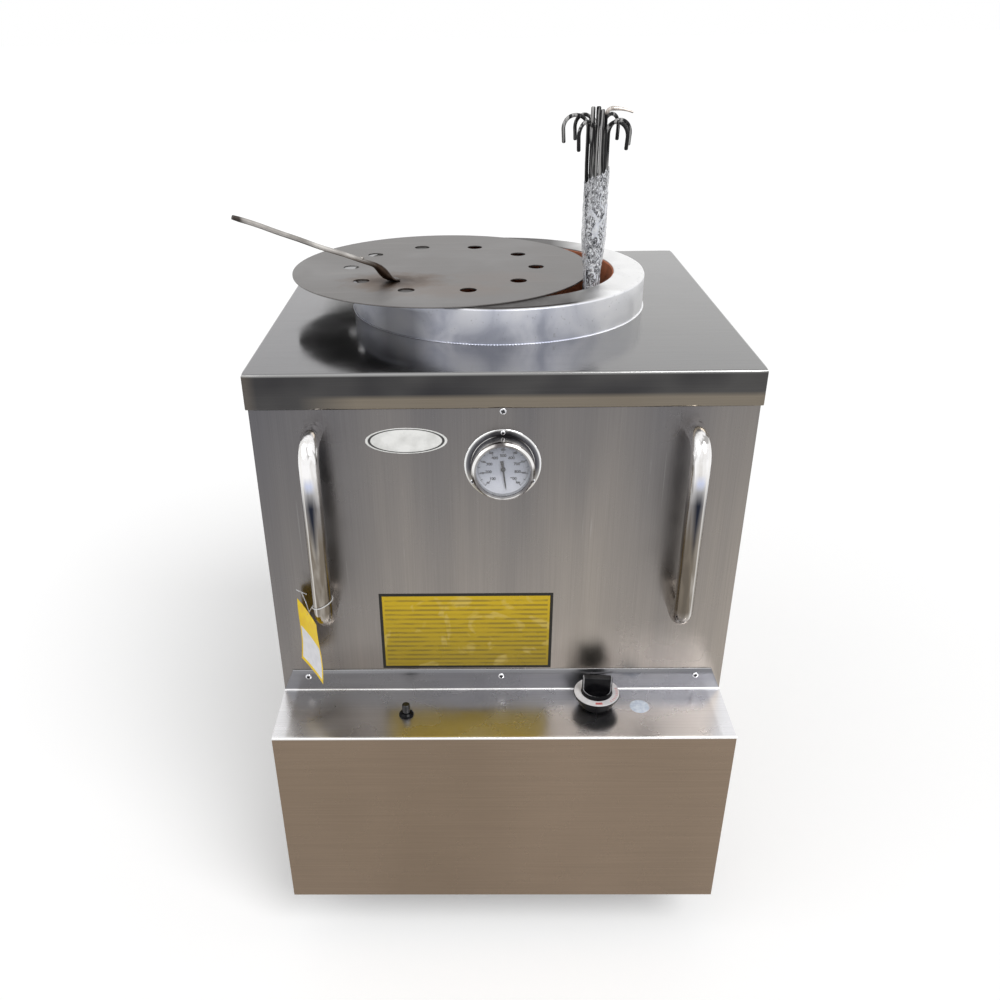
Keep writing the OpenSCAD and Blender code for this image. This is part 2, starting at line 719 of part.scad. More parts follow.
// The igniter's body hangs under the box top, and its threaded neck takes the nut above
igniter_neck_r = igniter_button_r + 1.7;
igniter_body_h = 50;
button_low = 14;
button_edge = 2;
module at_igniter(z) {
    translate([igniter_at[0], igniter_at[1], box_top + z]) children();
}

module igniter_body() color([0.1, 0.1, 0.1]) placed() at_igniter(-sheet) difference() {
    union() {
        translate([0, 0, -igniter_body_h]) cylinder(r = igniter_neck_r + 2, h = igniter_body_h);
        translate([0, 0, -cut]) cylinder(r = igniter_neck_r, h = igniter_nut_h + sheet + cut);
    }
    translate([0, 0, sheet - button_low - igniter_travel - cut])
        cylinder(r = igniter_button_r + running, h = igniter_body_h);
}

module igniter_nut() color([0.1, 0.1, 0.1]) placed() at_igniter(0) difference() {
    cylinder(r1 = igniter_nut_r, r2 = igniter_nut_r - 1, h = igniter_nut_h);
    translate([0, 0, -cut]) cylinder(r = igniter_neck_r + running, h = igniter_nut_h + 2 * cut);
}

module igniter_button() color([0.15, 0.15, 0.15]) placed() at_igniter(-button_low) {
    straight = button_low + igniter_button_up - button_edge;
    cylinder(r = igniter_button_r, h = straight);
    translate([0, 0, straight]) cylinder(r1 = igniter_button_r, r2 = igniter_button_r - 1.5, h = button_edge);
}

module igniter_lead() color("white") placed() sweep(igniter_route, lead_r);
module thermocouple_lead() color("chocolate") placed() sweep(thermocouple_route, lead_r);

module pilot_burner() color("gray") placed() {
    block([burner_r, -11, pilot_foot_z], [2 * pilot_x - burner_r, 11, pilot_foot_z + 4]);
    for (tube = [[-6, 4, 35], [5, 2.5, 39]])
        translate([pilot_x, tube[0], pilot_foot_z]) cylinder(r = tube[1], h = tube[2]);
}

// Depths in the gauge, counted out from the front panel
lens_out = bezel_out - 4.7;
lens_t = 2.1;
dial_t = 1;
dial_out = bezel_out - dial_down;
pointer_hub_t = 1.6;
pointer_out = dial_out + 0.8;
pivot_r = 1;
module gauge_case() color("silver") placed() out_of_front(0, gauge_z) {
    difference() {
        translate([0, 0, -case_back]) cylinder(r = case_r, h = case_back + lens_out);
        translate([0, 0, case_wall - case_back]) cylinder(r = case_r - case_wall, h = case_back + lens_out);
    }
    translate([0, 0, probe_tip - half]) cylinder(r = probe_r, h = half - probe_tip - case_back + cut);
}

module gauge_bezel() color("gainsboro") placed() out_of_front(0, gauge_z) difference() {
    rotate_extrude($fn = 96) polygon([[case_r + 0.1, 0], [gauge_flange_r - 0.5, 0], [gauge_flange_r, 0.5],
        [gauge_flange_r, 1.5], [gauge_flange_r - 0.5, 2], [bezel_r, 2], [bezel_r, bezel_out - 5],
        [bezel_r - 1, bezel_out - 2], [bezel_r - 3.5, bezel_out], [case_r - 3, bezel_out - 1],
        [case_r - 3, lens_out + lens_t], [case_r + 0.1, lens_out + lens_t]]);
    for (a = [90, 210, 330]) rotate(a) translate([gauge_screw_pcd_r, 0, -cut])
        cylinder(r = small_shank_r + screw_fit, h = 4);
}

module gauge_dial() color("white") placed() out_of_front(0, gauge_z) difference() {
    translate([0, 0, dial_out - dial_t]) cylinder(r = case_r - case_wall - running, h = dial_t);
    cylinder(r = pivot_r + running, h = dial_out + cut);
}

module gauge_lens() color([0.8, 0.9, 0.95, 0.3]) placed() out_of_front(0, gauge_z)
    translate([0, 0, lens_out]) cylinder(r = case_r, h = lens_t);

module gauge_pointer() color([0.05, 0.05, 0.05]) placed() out_of_front(0, gauge_z) {
    translate([0, 0, dial_out - 3]) cylinder(r = pivot_r, h = 4);
    translate([0, 0, pointer_out]) cylinder(r = 3.4, h = pointer_hub_t);
    translate([0, 0, pointer_out + pointer_hub_t / 4]) linear_extrude(pointer_hub_t / 2)
        rotate(-82) polygon([[0, -1.2], [pointer_l - 8, -0.9], [pointer_l, 0], [pointer_l - 8, 0.9], [0, 1.2],
            [-pointer_tail, 2.4], [-pointer_tail, -2.4]]);
}

module gauge_screws() color("silver") placed() out_of_front(0, gauge_z)
    for (a = [90, 210, 330]) rotate(a) translate([gauge_screw_pcd_r, 0, 2])
        screw(small_head_r, small_head_h, small_shank_r, small_shank_l);

// The tube's shape: two feet, two bends and a grip, all of one radius
module handle_shape(r, start) {
    for (end = [0, 1]) translate([0, 0, end * -handle_span]) {
        bar([0, front_y - handle_reach + handle_bend, 0], 1, r, handle_reach - handle_bend - start);
        translate([0, front_y - handle_reach + handle_bend, (end * 2 - 1) * handle_bend])
            rotate([0, 0, -90]) mirror([0, 0, end]) bend(r, handle_bend);
    }
    bar([0, front_y - handle_reach, handle_bend - handle_span], 2, r, handle_span - 2 * handle_bend);
}

module handle(x) {
    translate([x, 0, handle_top]) difference() {
        handle_shape(handle_r, 0);
        handle_shape(handle_r - handle_wall, plug_l);
        for (z = [0, -handle_span]) bar([0, front_y - plug_l + 1, z], 1, bolt_r + running, plug_l + cut);
    }
}
module handle_left() color("gainsboro") placed() handle(-handle_x);
module handle_right() color("gainsboro") placed() handle(handle_x);

module handle_bolts() color("gray") placed()
    for (x = [-handle_x, handle_x]) for (z = [handle_top, handle_top - handle_span]) {
        bar([x, front_y + sheet, z], 1, bolt_r * 1.8, bolt_r * 1.3);
        bar([x, front_y - plug_l + 2, z], 1, bolt_r, plug_l + sheet);
    }

module control_cover() color("silver") placed() difference() {
    union() {
        rotate([90, 0, 90]) translate([0, 0, -half]) linear_extrude(cabinet_w) cover_profile();
        out_of_front(0, box_top, front_y) linear_extrude(sheet)
            polygon([[-half, 0], [half, 0], [half - flange_cut, flange_h], [flange_cut - half, flange_h]]);
    }
    bar([knob_at[0], knob_at[1], box_top - 2 * sheet], 2, stem_r + 1.5, 3 * sheet);
    bar([igniter_at[0], igniter_at[1], box_top - 2 * sheet], 2, igniter_neck_r + 0.2, 3 * sheet);
    for (x = flange_screws)
        bar([x, front_y - sheet - cut, box_top + flange_screw_up], 1, screw_shank_r + screw_fit,
            sheet + 2 * cut);
}

// Section of the cover's bent sheet in Y and Z: the front, the bend and the top
module cover_profile() {
    translate([box_y, box_low]) square([sheet, box_top - bend_r - box_low]);
    translate([box_y + bend_r, box_top - sheet]) square([box_d - bend_r, sheet]);
    intersection() {
        translate([box_y + bend_r, box_top - bend_r]) difference() {
            circle(r = bend_r);
            circle(r = bend_r - sheet);
        }
        translate([box_y, box_top - bend_r]) square(bend_r);
    }
}

module cover_ends() color("silver") placed() for (side = [-1, 1])
    translate([side * (half - sheet / 2), 0, 0])
        block([-sheet / 2, box_y + sheet, box_low], [sheet / 2, front_y, box_top - bend_r]);

module panel_screws() color("silver") placed() {
    for (x = flange_screws) out_of_front(x, box_top + flange_screw_up, front_y - sheet)
        screw(screw_head_r, screw_head_h, screw_shank_r, screw_shank_l);
    out_of_front(0, skirt_screw_z) screw(screw_head_r, screw_head_h, screw_shank_r, screw_shank_l);
    for (p = back_screws) translate([p[0], half, p[1]]) rotate([-90, 0, 0])
        screw(screw_head_r, screw_head_h, screw_shank_r, screw_shank_l);
}

module blank_badge() color("white") placed() out_of_front(-badge_left, oven_h - badge_down)
    linear_extrude(card_t)
        polygon([for (a = [0 : 7.5 : 352.5]) [badge_w / 2 * cos(a), badge_h / 2 * sin(a)]]);

module blank_label() color("gold") placed() out_of_front(-label_left, box_top + flange_h + label_gap)
    translate([-label_w / 2, 0, 0]) cube([label_w, label_h, card_t]);

module lid_plate() color("rosybrown") placed() translate([lid_at[0], lid_at[1], collar_top]) difference() {
    cylinder(r = lid_r, h = lid_t, $fn = 128);
    translate(vent_shift) for (i = [0 : vent_count - 1]) rotate(i * 360 / vent_count + vent_turn)
        translate([vent_pcd_r, 0, -cut]) cylinder(r = vent_r, h = lid_t + 2 * cut, $fn = 32);
}

// The rod's end is hammered flat into a tongue, which is welded on the lid
tongue_l = 28;
tongue_w = 3.1 * rod_r;
rod_start = 30;
module lid_handle() color("tan") placed() translate([rod_foot[0], rod_foot[1], lid_top]) rotate(rod_turn) {
    translate([12 - tongue_l, -tongue_w / 2, 0]) cube([tongue_l, tongue_w, 2]);
    hull() {
        translate([0, -tongue_w / 2, 0]) cube([12, tongue_w, 2]);
        translate([rod_start - 2, 0, rod_lift]) rotate([0, 90 - rod_angle, 0])
            cylinder(r = rod_r, h = 6, $fn = 24);
    }
    translate([rod_start, 0, rod_lift]) rotate([0, 90 - rod_angle, 0])
        cylinder(r = rod_r, h = (rod_run - rod_start) / cos(rod_angle));
}

// Where a skewer stands in the bundle: its distance from the middle, its turn and its layer
function spot(i) = i == 0 ? [0, 0, 0]
    : i < 7 ? [skewer_pitch, (i - 1) * 60, 1]
    : [skewer_pitch * sqrt(3), 30 + (i - 7) * 60, 2];

// A hooked skewer: the shank bends over and its end falls outwards
module hooked_skewer(shank) {
    cylinder(r = skewer_r, h = shank, $fn = 24);
    translate([hook_r, 0, shank]) rotate([90, 0, 0])
        rotate_extrude(angle = 180, $fn = 48) translate([hook_r, 0]) circle(r = skewer_r, $fn = 24);
    translate([2 * hook_r, 0, shank - hook_l]) cylinder(r = skewer_r, h = hook_l, $fn = 24);
}

// A skewer that ends in an upright flat blade
blade_l = 21;
blade_t = 0.86 * skewer_r;
module bladed_skewer(shank) {
    cylinder(r = skewer_r, h = shank, $fn = 24);
    translate([-skewer_r * 0.85, -blade_t / 2, shank - cut]) cube([skewer_r * 1.7, blade_t, blade_l + cut]);
}

// A skewer whose pointed end is bent over to the side
point_l = 26;
point_turn_r = 12;
module bent_skewer(shank) {
    cylinder(r = skewer_r, h = shank, $fn = 24);
    translate([point_turn_r, 0, shank]) rotate([90, 0, 0]) rotate(90)
        rotate_extrude(angle = 90, $fn = 48) translate([point_turn_r, 0]) circle(r = skewer_r, $fn = 24);
    translate([point_turn_r, 0, shank + point_turn_r]) rotate([0, 90, 0])
        cylinder(r1 = skewer_r, r2 = 0.25 * skewer_r, h = point_l);
}

// How much longer the inner ring, the bent and the bladed skewers are, so that their ends pass each other
inner_more = 8;
bent_more = 14;
bladed_more = 17;
module skewers() color([0.2, 0.2, 0.2]) placed() translate([bundle_at[0], bundle_at[1], pot_floor])
    for (i = [0 : skewer_count - 1]) let (s = spot(i)) rotate(s[1]) translate([s[0], 0, 0])
        if (i == 0 || i == 5 || i == 6) bladed_skewer(skewer_l + bladed_more);
        else if (i == 1) bent_skewer(skewer_l + bent_more);
        else hooked_skewer(skewer_l + (s[2] == 1 ? inner_more : 0));

// The film is torn off at a slant above its foot
film_slant = 35;
film_tear = 20;
module skewer_wrap() color([0.9, 0.92, 0.95, 0.5]) placed()
    translate([bundle_at[0], bundle_at[1], collar_top]) difference() {
        translate([0, 0, -film_down]) cylinder(r = film_r, h = film_down + film_up + film_tear);
        translate([0, 0, -film_down - cut]) cylinder(r = film_in, h = film_down + film_up + 2 * film_tear);
        translate([0, 0, film_up + film_tear]) rotate([0, -film_slant, 0])
            cube([5 * film_r, 5 * film_r, 2 * film_tear], center = true);
    }

// The tag hangs beside the left grip, turned out from the panel and leaning a little in its own plane
tag_turn = -57.5;
tag_lean = 7.5;
tag_hole_r = 4;
tag_hole = [-handle_x - 26.5, front_y - 45.5, handle_top - handle_span + tag_up];
module hang_tag() color("gold") placed() translate(tag_hole) rotate(tag_turn) rotate([0, tag_lean, 0])
    difference() {
        translate([-tag_w / 2, 0, tag_hole_down - tag_h]) cube([tag_w, card_t, tag_h]);
        bar([0, -cut, 0], 1, tag_hole_r, card_t + 2 * cut, $fn = 32);
    }

// The tie is looped round the left grip, and the tag's hole hangs on its end
tie_r = 0.8;
tie_end = 6;
tie_loop_r = handle_r + tie_r + loose;
tie_loop_up = 31;
tie_side = 149;
tie_out = [sin(tag_turn), -cos(tag_turn), 0];
tie_at = tag_hole + [0, 0, tag_hole_r - tie_r - 0.3];
module tag_tie() color([0.9, 0.9, 0.9]) placed() {
    grip = [-handle_x, front_y - handle_reach, tag_hole[2] + tie_loop_up];
    translate(grip) rotate_extrude() translate([tie_loop_r, 0]) circle(r = tie_r, $fn = 16);
    sweep([grip + tie_loop_r * [cos(tie_side), sin(tie_side), 0], tie_at - (tie_end - 1) * tie_out,
        tie_at + tie_end * tie_out], tie_r);
}

// Under each plate hangs the race's cup, and the kingpin comes out of the cup
race_h = 10;
race_r = 22;
crown_top = castor_h - castor_plate_t - race_h - loose;
crown_t = 4;
crown_r = 24;
module castor_plates() color("silver") placed()
    for (x = [-castor_x, castor_x]) for (y = [-castor_x, castor_x]) translate([x, y, 0]) {
        block([-castor_plate[0], -castor_plate[1], castor_h - castor_plate_t],
            [castor_plate[0], castor_plate[1], castor_h]);
        translate([0, 0, castor_h - castor_plate_t - race_h]) cylinder(r = race_r, h = race_h + cut);
        translate([0, 0, crown_top - crown_t]) cylinder(r = kingpin_r, h = crown_t + 2 * cut);
    }

// The fork's cheeks run down from the crown to the axle, clear of the wheel
cheek_t = 3;
cheek_gap = 2;
cheek_mid = wheel_w / 2 + cheek_gap + cheek_t / 2;
cheek_l = 32;
module castor_fork(x, y) translate([x, y, 0]) {
    difference() {
        translate([0, 0, crown_top - crown_t]) cylinder(r = crown_r, h = crown_t);
        translate([0, 0, crown_top - crown_t - cut]) cylinder(r = kingpin_r + running, h = crown_t + 2 * cut);
    }
    for (side = [-1, 1]) {
        translate([side * cheek_mid - cheek_t / 2, -cheek_l / 2, 0]) rotate([90, 0, 90])
            linear_extrude(cheek_t)
                polygon([[0, crown_top - 1], [castor_trail + 4, wheel_r - 11],
                    [castor_trail + 27, wheel_r - 8], [castor_trail + 27, wheel_r + 8],
                    [cheek_l, crown_top - 1]]);
        bar([side * (cheek_mid + 5) - 3, castor_trail, wheel_r], 0, axle_r + 3, 6);
    }
    bar([-cheek_mid - 5, castor_trail, wheel_r], 0, axle_r, 2 * cheek_mid + 10);
}

// A wheel with a hub, a web and a tread
tread_h = 10;
hub_r = axle_r + 9;
web_in = 3;
module castor_wheel(x, y) translate([x, y + castor_trail, wheel_r]) rotate([0, 90, 0]) rotate_extrude()
    polygon(concat([for (p = wheel_side) [p[0], -p[1]]],
        [for (i = [len(wheel_side) - 1 : -1 : 0]) wheel_side[i]]));

// Half of the wheel's section, from the bore out to the tread: radius and distance from its middle
wheel_side = [[axle_r + running, wheel_w / 2], [hub_r, wheel_w / 2], [hub_r + 2, wheel_w / 2 - web_in],
    [wheel_r - tread_h, wheel_w / 2 - web_in], [wheel_r - tread_h + 2, wheel_w / 2],
    [wheel_r - 3, wheel_w / 2], [wheel_r, wheel_w / 2 - 3]];

module castor_fork_front_left() color("silver") placed() castor_fork(-castor_x, -castor_x);
module castor_fork_front_right() color("silver") placed() castor_fork(castor_x, -castor_x);
module castor_fork_back_left() color("silver") placed() castor_fork(-castor_x, castor_x);
module castor_fork_back_right() color("silver") placed() castor_fork(castor_x, castor_x);
module castor_wheel_front_left() color("dimgray") placed() castor_wheel(-castor_x, -castor_x);
module castor_wheel_front_right() color("dimgray") placed() castor_wheel(castor_x, -castor_x);
module castor_wheel_back_left() color("dimgray") placed() castor_wheel(-castor_x, castor_x);
module castor_wheel_back_right() color("dimgray") placed() castor_wheel(castor_x, castor_x);

front_panel();
side_panel_left();
side_panel_right();
back_panel();
base_pan();
frame_rails();
corner_posts();
top_cover();
collar_ring();
clay_pot();
insulation();
pot_tray();
burner();
burner_stand();
injector();
flame_deflector();
gas_pipe();
gas_inlet();
gas_valve();
valve_plunger();
valve_stem();
feed_tube();
knob();
knob_scale_ring();
igniter_body();
igniter_nut();
igniter_button();
igniter_lead();
pilot_burner();
thermocouple_lead();
gauge_case();
gauge_bezel();
gauge_dial();
gauge_lens();
gauge_pointer();
gauge_screws();
handle_left();
handle_right();
handle_bolts();
control_cover();
cover_ends();
panel_screws();
blank_badge();
blank_label();
lid_plate();
lid_handle();
skewers();
skewer_wrap();
hang_tag();
tag_tie();
castor_plates();
castor_fork_front_left();
castor_fork_front_right();
castor_fork_back_left();
castor_fork_back_right();
castor_wheel_front_left();
castor_wheel_front_right();
castor_wheel_back_left();
castor_wheel_back_right();
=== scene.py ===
from math import cos, exp, pi, radians, sin, sqrt, tan

import bmesh
import bpy
from mathutils import Matrix, Vector, noise


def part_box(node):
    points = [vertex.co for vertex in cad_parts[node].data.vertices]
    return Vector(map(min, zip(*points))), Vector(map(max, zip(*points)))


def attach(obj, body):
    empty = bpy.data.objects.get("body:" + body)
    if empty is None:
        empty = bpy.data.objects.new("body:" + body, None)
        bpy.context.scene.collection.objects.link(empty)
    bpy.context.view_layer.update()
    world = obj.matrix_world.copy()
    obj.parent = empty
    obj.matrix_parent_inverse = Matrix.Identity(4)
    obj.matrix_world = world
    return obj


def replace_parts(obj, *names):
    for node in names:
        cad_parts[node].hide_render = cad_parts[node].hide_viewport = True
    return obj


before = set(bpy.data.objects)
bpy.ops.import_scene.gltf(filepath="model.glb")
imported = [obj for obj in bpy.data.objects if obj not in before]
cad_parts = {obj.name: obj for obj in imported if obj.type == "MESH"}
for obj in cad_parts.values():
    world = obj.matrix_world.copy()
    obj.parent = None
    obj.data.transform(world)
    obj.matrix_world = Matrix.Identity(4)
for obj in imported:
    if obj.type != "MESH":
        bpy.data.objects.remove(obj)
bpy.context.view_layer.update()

scene = bpy.context.scene
panel_low, panel_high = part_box("front_panel")
back_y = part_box("back_panel")[1].y
middle = Vector(((panel_low.x + panel_high.x) / 2, (panel_low.y + back_y) / 2, 0))
plate_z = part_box("top_cover")[1].z


def stand(name, data):
    """A new object in the scene."""
    new = bpy.data.objects.new(name, data)
    scene.collection.objects.link(new)
    return new


eye = stand("photo_view", bpy.data.cameras.new("photo_view"))
scene.camera = eye
eye.data.lens = 33.404
eye.data.shift_x, eye.data.shift_y = 0.0377, 0.0195
look_down, look_right, lean = radians(28.639), radians(1.097), radians(0.951)
eye_at = middle + Vector((-0.0357, -1.5395, plate_z + 0.4233))
eye_turn = (Matrix.Rotation(look_right, 3, "Z") @ Matrix.Rotation(-look_down, 3, "X")
            @ Matrix.Rotation(lean, 3, "Y") @ Matrix(((1, 0, 0), (0, 0, -1), (0, 1, 0))))
eye.matrix_world = Matrix.Translation(eye_at) @ eye_turn.to_4x4()
scene.view_settings.view_transform = "Standard"


class Value:
    """What a node gives out. It takes part in sums as a number does."""

    def __init__(self, socket):
        self.socket, self.tree = socket, socket.id_data

    def __add__(self, other):
        return maths("ADD", self, other)

    def __sub__(self, other):
        return maths("SUBTRACT", self, other)

    def __rsub__(self, other):
        return maths("SUBTRACT", other, self)

    def __mul__(self, other):
        return maths("MULTIPLY", self, other)

    def __abs__(self):
        return maths("ABSOLUTE", self)

    def spread(self, from_low, from_high, to_low=0, to_high=1):
        """The value carried from one range over to another, and held at the ends."""
        return node(self.tree, "MapRange", out="Result", Value=self, From_Min=from_low, From_Max=from_high,
                    To_Min=to_low, To_Max=to_high)

    def shades(self, *stops):
        """Colours along the value: pairs of a place and a colour."""
        ramp = self.tree.nodes.new("ShaderNodeValToRGB")
        put(self, ramp.inputs["Fac"])
        marks = ramp.color_ramp.elements
        while len(marks) < len(stops):
            marks.new(0.5)
        for mark, (place, colour) in zip(marks, stops):
            mark.position = place
            mark.color = (*colour, 1)
        return Value(ramp.outputs["Color"])


def put(value, socket):
    """Joins what a node gives to a socket, or sets the socket to a plain value."""
    if isinstance(value, Value):
        value.tree.links.new(value.socket, socket)
    elif isinstance(value, tuple):
        socket.default_value = (*value, 1)[:len(socket.default_value)]
    else:
        socket.default_value = value


def node(tree, kind, settings=None, out=0, **inputs):
    """What a new node gives, with its settings made and its inputs filled."""
    new = tree.nodes.new(kind if "Node" in kind else "ShaderNode" + kind)
    for key, value in (settings or {}).items():
        setattr(new, key, value)
    for key, value in inputs.items():
        put(value, new.inputs[key.replace("_", " ")])
    return Value(new.outputs[out])


def maths(operation, *terms):
    """The result of one sum on values and numbers."""
    tree = next(term.tree for term in terms if isinstance(term, Value))
    new = tree.nodes.new("ShaderNodeMath")
    new.operation = operation
    for socket, term in zip(new.inputs, terms):
        put(term, socket)
    return Value(new.outputs[0])


def seen_directly(tree):
    """1 on what the eye sees straight, in metal or through glass."""
    straight, in_metal, through = (node(tree, "LightPath", out=f"Is {way} Ray")
                                   for way in ("Camera", "Glossy", "Transmission"))
    return maths("MAXIMUM", straight, maths("MAXIMUM", in_metal, through))


surroundings = bpy.data.worlds.new("surroundings")
surroundings.use_nodes = True
scene.world = surroundings
glow = surroundings.node_tree.nodes["Background"]
put((1, 1, 1), glow.inputs["Color"])
put(seen_directly(surroundings.node_tree).spread(0, 1, 0.42, 1), glow.inputs["Strength"])

floor_mesh = bpy.data.meshes.new("floor")
floor_mesh.from_pydata([(-60, -60, 0), (60, -60, 0), (60, 60, 0), (-60, 60, 0)], [], [(0, 1, 2, 3)])
floor = stand("floor", floor_mesh)
pale_floor = bpy.data.materials.new("pale_floor")
pale_floor.use_nodes = True
floor_tree = pale_floor.node_tree
floor_tree.nodes.remove(floor_tree.nodes["Principled BSDF"])
floor_sum = floor_tree.nodes.new("ShaderNodeAddShader")
floor_lift = seen_directly(floor_tree) * 0.24
put(node(floor_tree, "BsdfDiffuse", Color=(0.84, 0.84, 0.84)), floor_sum.inputs[0])
put(node(floor_tree, "Emission", Color=(1, 1, 1), Strength=floor_lift), floor_sum.inputs[1])
put(Value(floor_sum.outputs[0]), floor_tree.nodes["Material Output"].inputs["Surface"])
floor_mesh.materials.append(pale_floor)

for name, towards, strength, width in (("high_sun", (0.42, -0.50, 0.76), 1.75, 34),
                                       ("side_sun", (-0.62, -0.42, 0.66), 0.5, 50)):
    sun = stand(name, bpy.data.lights.new(name, "SUN"))
    sun.data.energy, sun.data.angle = strength, radians(width)
    sun.rotation_euler = Vector(towards).to_track_quat("Z", "Y").to_euler()


# The cabinet's front, sides and back: 1.5 mm stainless sheet, cut flat, with a fine upright
# brushed grain. Handling has left smudges and a few hairline scratches, and the broad soft
# tones are partly random and partly a painted reflection.
def paint(made, **sockets):
    """Sets the shader's sockets to plain values, or joins patterns to them."""
    for key, value in sockets.items():
        put(value, made.node_tree.nodes["Principled BSDF"].inputs[key.replace("_", " ")])


def finish(name, colour, metal=0.0, rough=0.5, **more):
    """A new material. What is the same all over is set on the shader itself."""
    made = bpy.data.materials.new(name)
    made.use_nodes = True
    paint(made, Base_Color=colour, Metallic=metal, Roughness=rough, **more)
    return made


def placed(made, **mapping):
    """The object's own coordinates, moved, turned and scaled."""
    own = node(made.node_tree, "TexCoord", out="Object")
    return node(made.node_tree, "Mapping", Vector=own, **mapping)


def coordinate(made, axis):
    """One of the object's own coordinates."""
    own = node(made.node_tree, "TexCoord", out="Object")
    return node(made.node_tree, "SeparateXYZ", out=axis, Vector=own)


def speckle(made, scale, detail=2.0, rough=0.5, warp=0.0, turn=(0, 0, 0), shift=(0, 0, 0)):
    """Cloudy noise, drawn out along the axes by its three scales."""
    scales = scale if isinstance(scale, tuple) else (scale,) * 3
    return node(made.node_tree, "TexNoise", Vector=placed(made, Location=shift, Rotation=turn, Scale=scales),
                Scale=1.0, Detail=detail, Roughness=rough, Distortion=warp)


def mixed(share, under, over, way="MIX"):
    """One colour laid over another."""
    tree = next(term.tree for term in (share, under, over) if isinstance(term, Value))
    new = tree.nodes.new("ShaderNodeMix")
    new.data_type, new.blend_type = "RGBA", way
    for index, value in ((0, share), (6, under), (7, over)):
        put(value, new.inputs[index])
    return Value(new.outputs[2])


def layers(shade, *coats):
    """A colour with others laid over it in turn: pairs of a share and a colour."""
    for share, colour in coats:
        shade = mixed(share, shade, colour)
    return shade


def raise_by(made, height, strength, depth):
    """Bumps the surface by a pattern."""
    paint(made, Normal=node(made.node_tree, "Bump", Height=height, Strength=strength, Distance=depth))


def sheet_steel(name, tone, along="Z", rough=(0.24, 0.36), scratched=0.1, grain=0.06):
    """Brushed sheet: tone gives its colour, the rest is grain, smudges and scratches."""
    made = finish(name, (0.4, 0.4, 0.4), 1.0, rough[1])
    lines = speckle(made, tuple(7.0 if axis == along else 900.0 for axis in "XYZ"), 3.0)
    hair = speckle(made, tuple(5.0 if axis == along else 260.0 for axis in "XYZ"), 1.0, turn=(0.5, 0.9, 0.7))
    smudge = speckle(made, 11.0, 4.0, shift=(3, 1, 7))
    scratch = hair.spread(0.71, 0.77, 0, scratched) * smudge.spread(0.5, 0.62)
    shade = mixed(1.0, tone(made), lines.shades((0.3, (0.93,) * 3), (0.7, (1.05,) * 3)), "MULTIPLY")
    paint(made, Base_Color=mixed(scratch, shade, (0.75, 0.75, 0.74)),
          Roughness=smudge.spread(0.35, 0.7, *rough) + scratch)
    raise_by(made, lines, grain, 0.0004)
    return made


def dress(made, *names):
    """Gives a finish to nodes that keep their own mesh."""
    for name in names:
        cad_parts[name].data.materials.clear()
        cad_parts[name].data.materials.append(made)


def panel_tone_and_painted_reflection(made):
    """Random upright bands, with a painted reflection: blue grey at the upper left, lighter and warmer low
    down and to the right, and a narrow upright pale painted streak right of the middle.
    """
    across, height = coordinate(made, "X"), coordinate(made, "Z")
    bands = speckle(made, (7.0, 7.0, 0.5), 3.0, shift=(1.7, 0, 0.4))
    # Painted reflection: lighter lower down and to the right, and a narrow pale upright streak right of the
    # middle.
    fall = height.spread(panel_high.z, panel_high.z - 0.5, 0, 0.34)
    side = across.spread(panel_low.x, panel_high.x, 0, 0.20)
    pale_x = middle.x + 0.106
    pale = (abs(across - pale_x).spread(0.045, 0.012, 0, 0.06)
            * height.spread(panel_high.z - 0.16, panel_high.z - 0.26))
    return (bands * 0.72 + (fall + (side + pale))).shades(
        (0.30, (0.108, 0.108, 0.121)), (0.58, (0.198, 0.186, 0.180)), (0.88, (0.34, 0.305, 0.270)))


panel_steel = sheet_steel("panel_steel", panel_tone_and_painted_reflection)
dress(panel_steel, "front_panel", "side_panel_left", "side_panel_right", "back_panel")


# The frame inside: mild steel angle, welded into base rails, posts and tray ledges, with a base
# pan and the tray that carries the pot. It is painted, and greyed by heat and dust.
def rough_metal(name, dark, light, metal, rough, size, *names):
    """Mill, cast or painted metal with cloudy tones, specks and a slightly rough skin, put on nodes."""
    made = finish(name, light, metal, rough[1])
    cloud = speckle(made, size, 5.0)
    speck = speckle(made, size * 14, shift=(2, 5, 1))
    shade = cloud.shades((0.35, dark), (0.65, light))
    paint(made, Base_Color=mixed(speck.spread(0.62, 0.72, 0, 0.5), shade, tuple(c * 0.45 for c in dark)),
          Roughness=cloud.spread(0.3, 0.7, *rough))
    raise_by(made, cloud + speck * 0.5, 0.25, 0.0006)
    dress(made, *names)


rough_metal("frame_steel", (0.05, 0.05, 0.055), (0.11, 0.11, 0.115), 0.3, (0.45, 0.7), 22.0,
            "frame_rails", "corner_posts", "burner_stand")
rough_metal("plate_steel", (0.20, 0.19, 0.18), (0.34, 0.32, 0.30), 0.9, (0.3, 0.5), 22.0,
            "base_pan", "pot_tray", "flame_deflector")


# The castors: pressed and plated forks that swivel on plates under the base, and grey tread
# wheels with a moulded centre, each on its own axle.
def plated(name, tone=(0.55, 0.56, 0.58), rough=(0.22, 0.42)):
    """Bright zinc or chrome plate with small flaws."""
    made = finish(name, tone, 1.0, rough[0])
    cloud = speckle(made, 60.0, 4.0)
    dull = speckle(made, 9.0, 3.0, shift=(4, 2, 0))
    paint(made, Base_Color=cloud.shades((0.3, tuple(c * 0.82 for c in tone)), (0.7, tone)),
          Roughness=dull.spread(0.35, 0.7, *rough))
    raise_by(made, cloud, 0.08, 0.0003)
    return made


def mottled(name, colour, rough, cloud, shade=None, polish=None, bump=None, metal=0.0, **more):
    """A finish with one cloudy noise in its colour, its polish or its relief."""
    made = finish(name, colour, metal, rough, **more)
    pattern = speckle(made, *cloud)
    if shade:
        paint(made, Base_Color=pattern.shades(*shade))
    if polish:
        paint(made, Roughness=pattern.spread(*polish))
    if bump:
        raise_by(made, pattern, *bump)
    return made


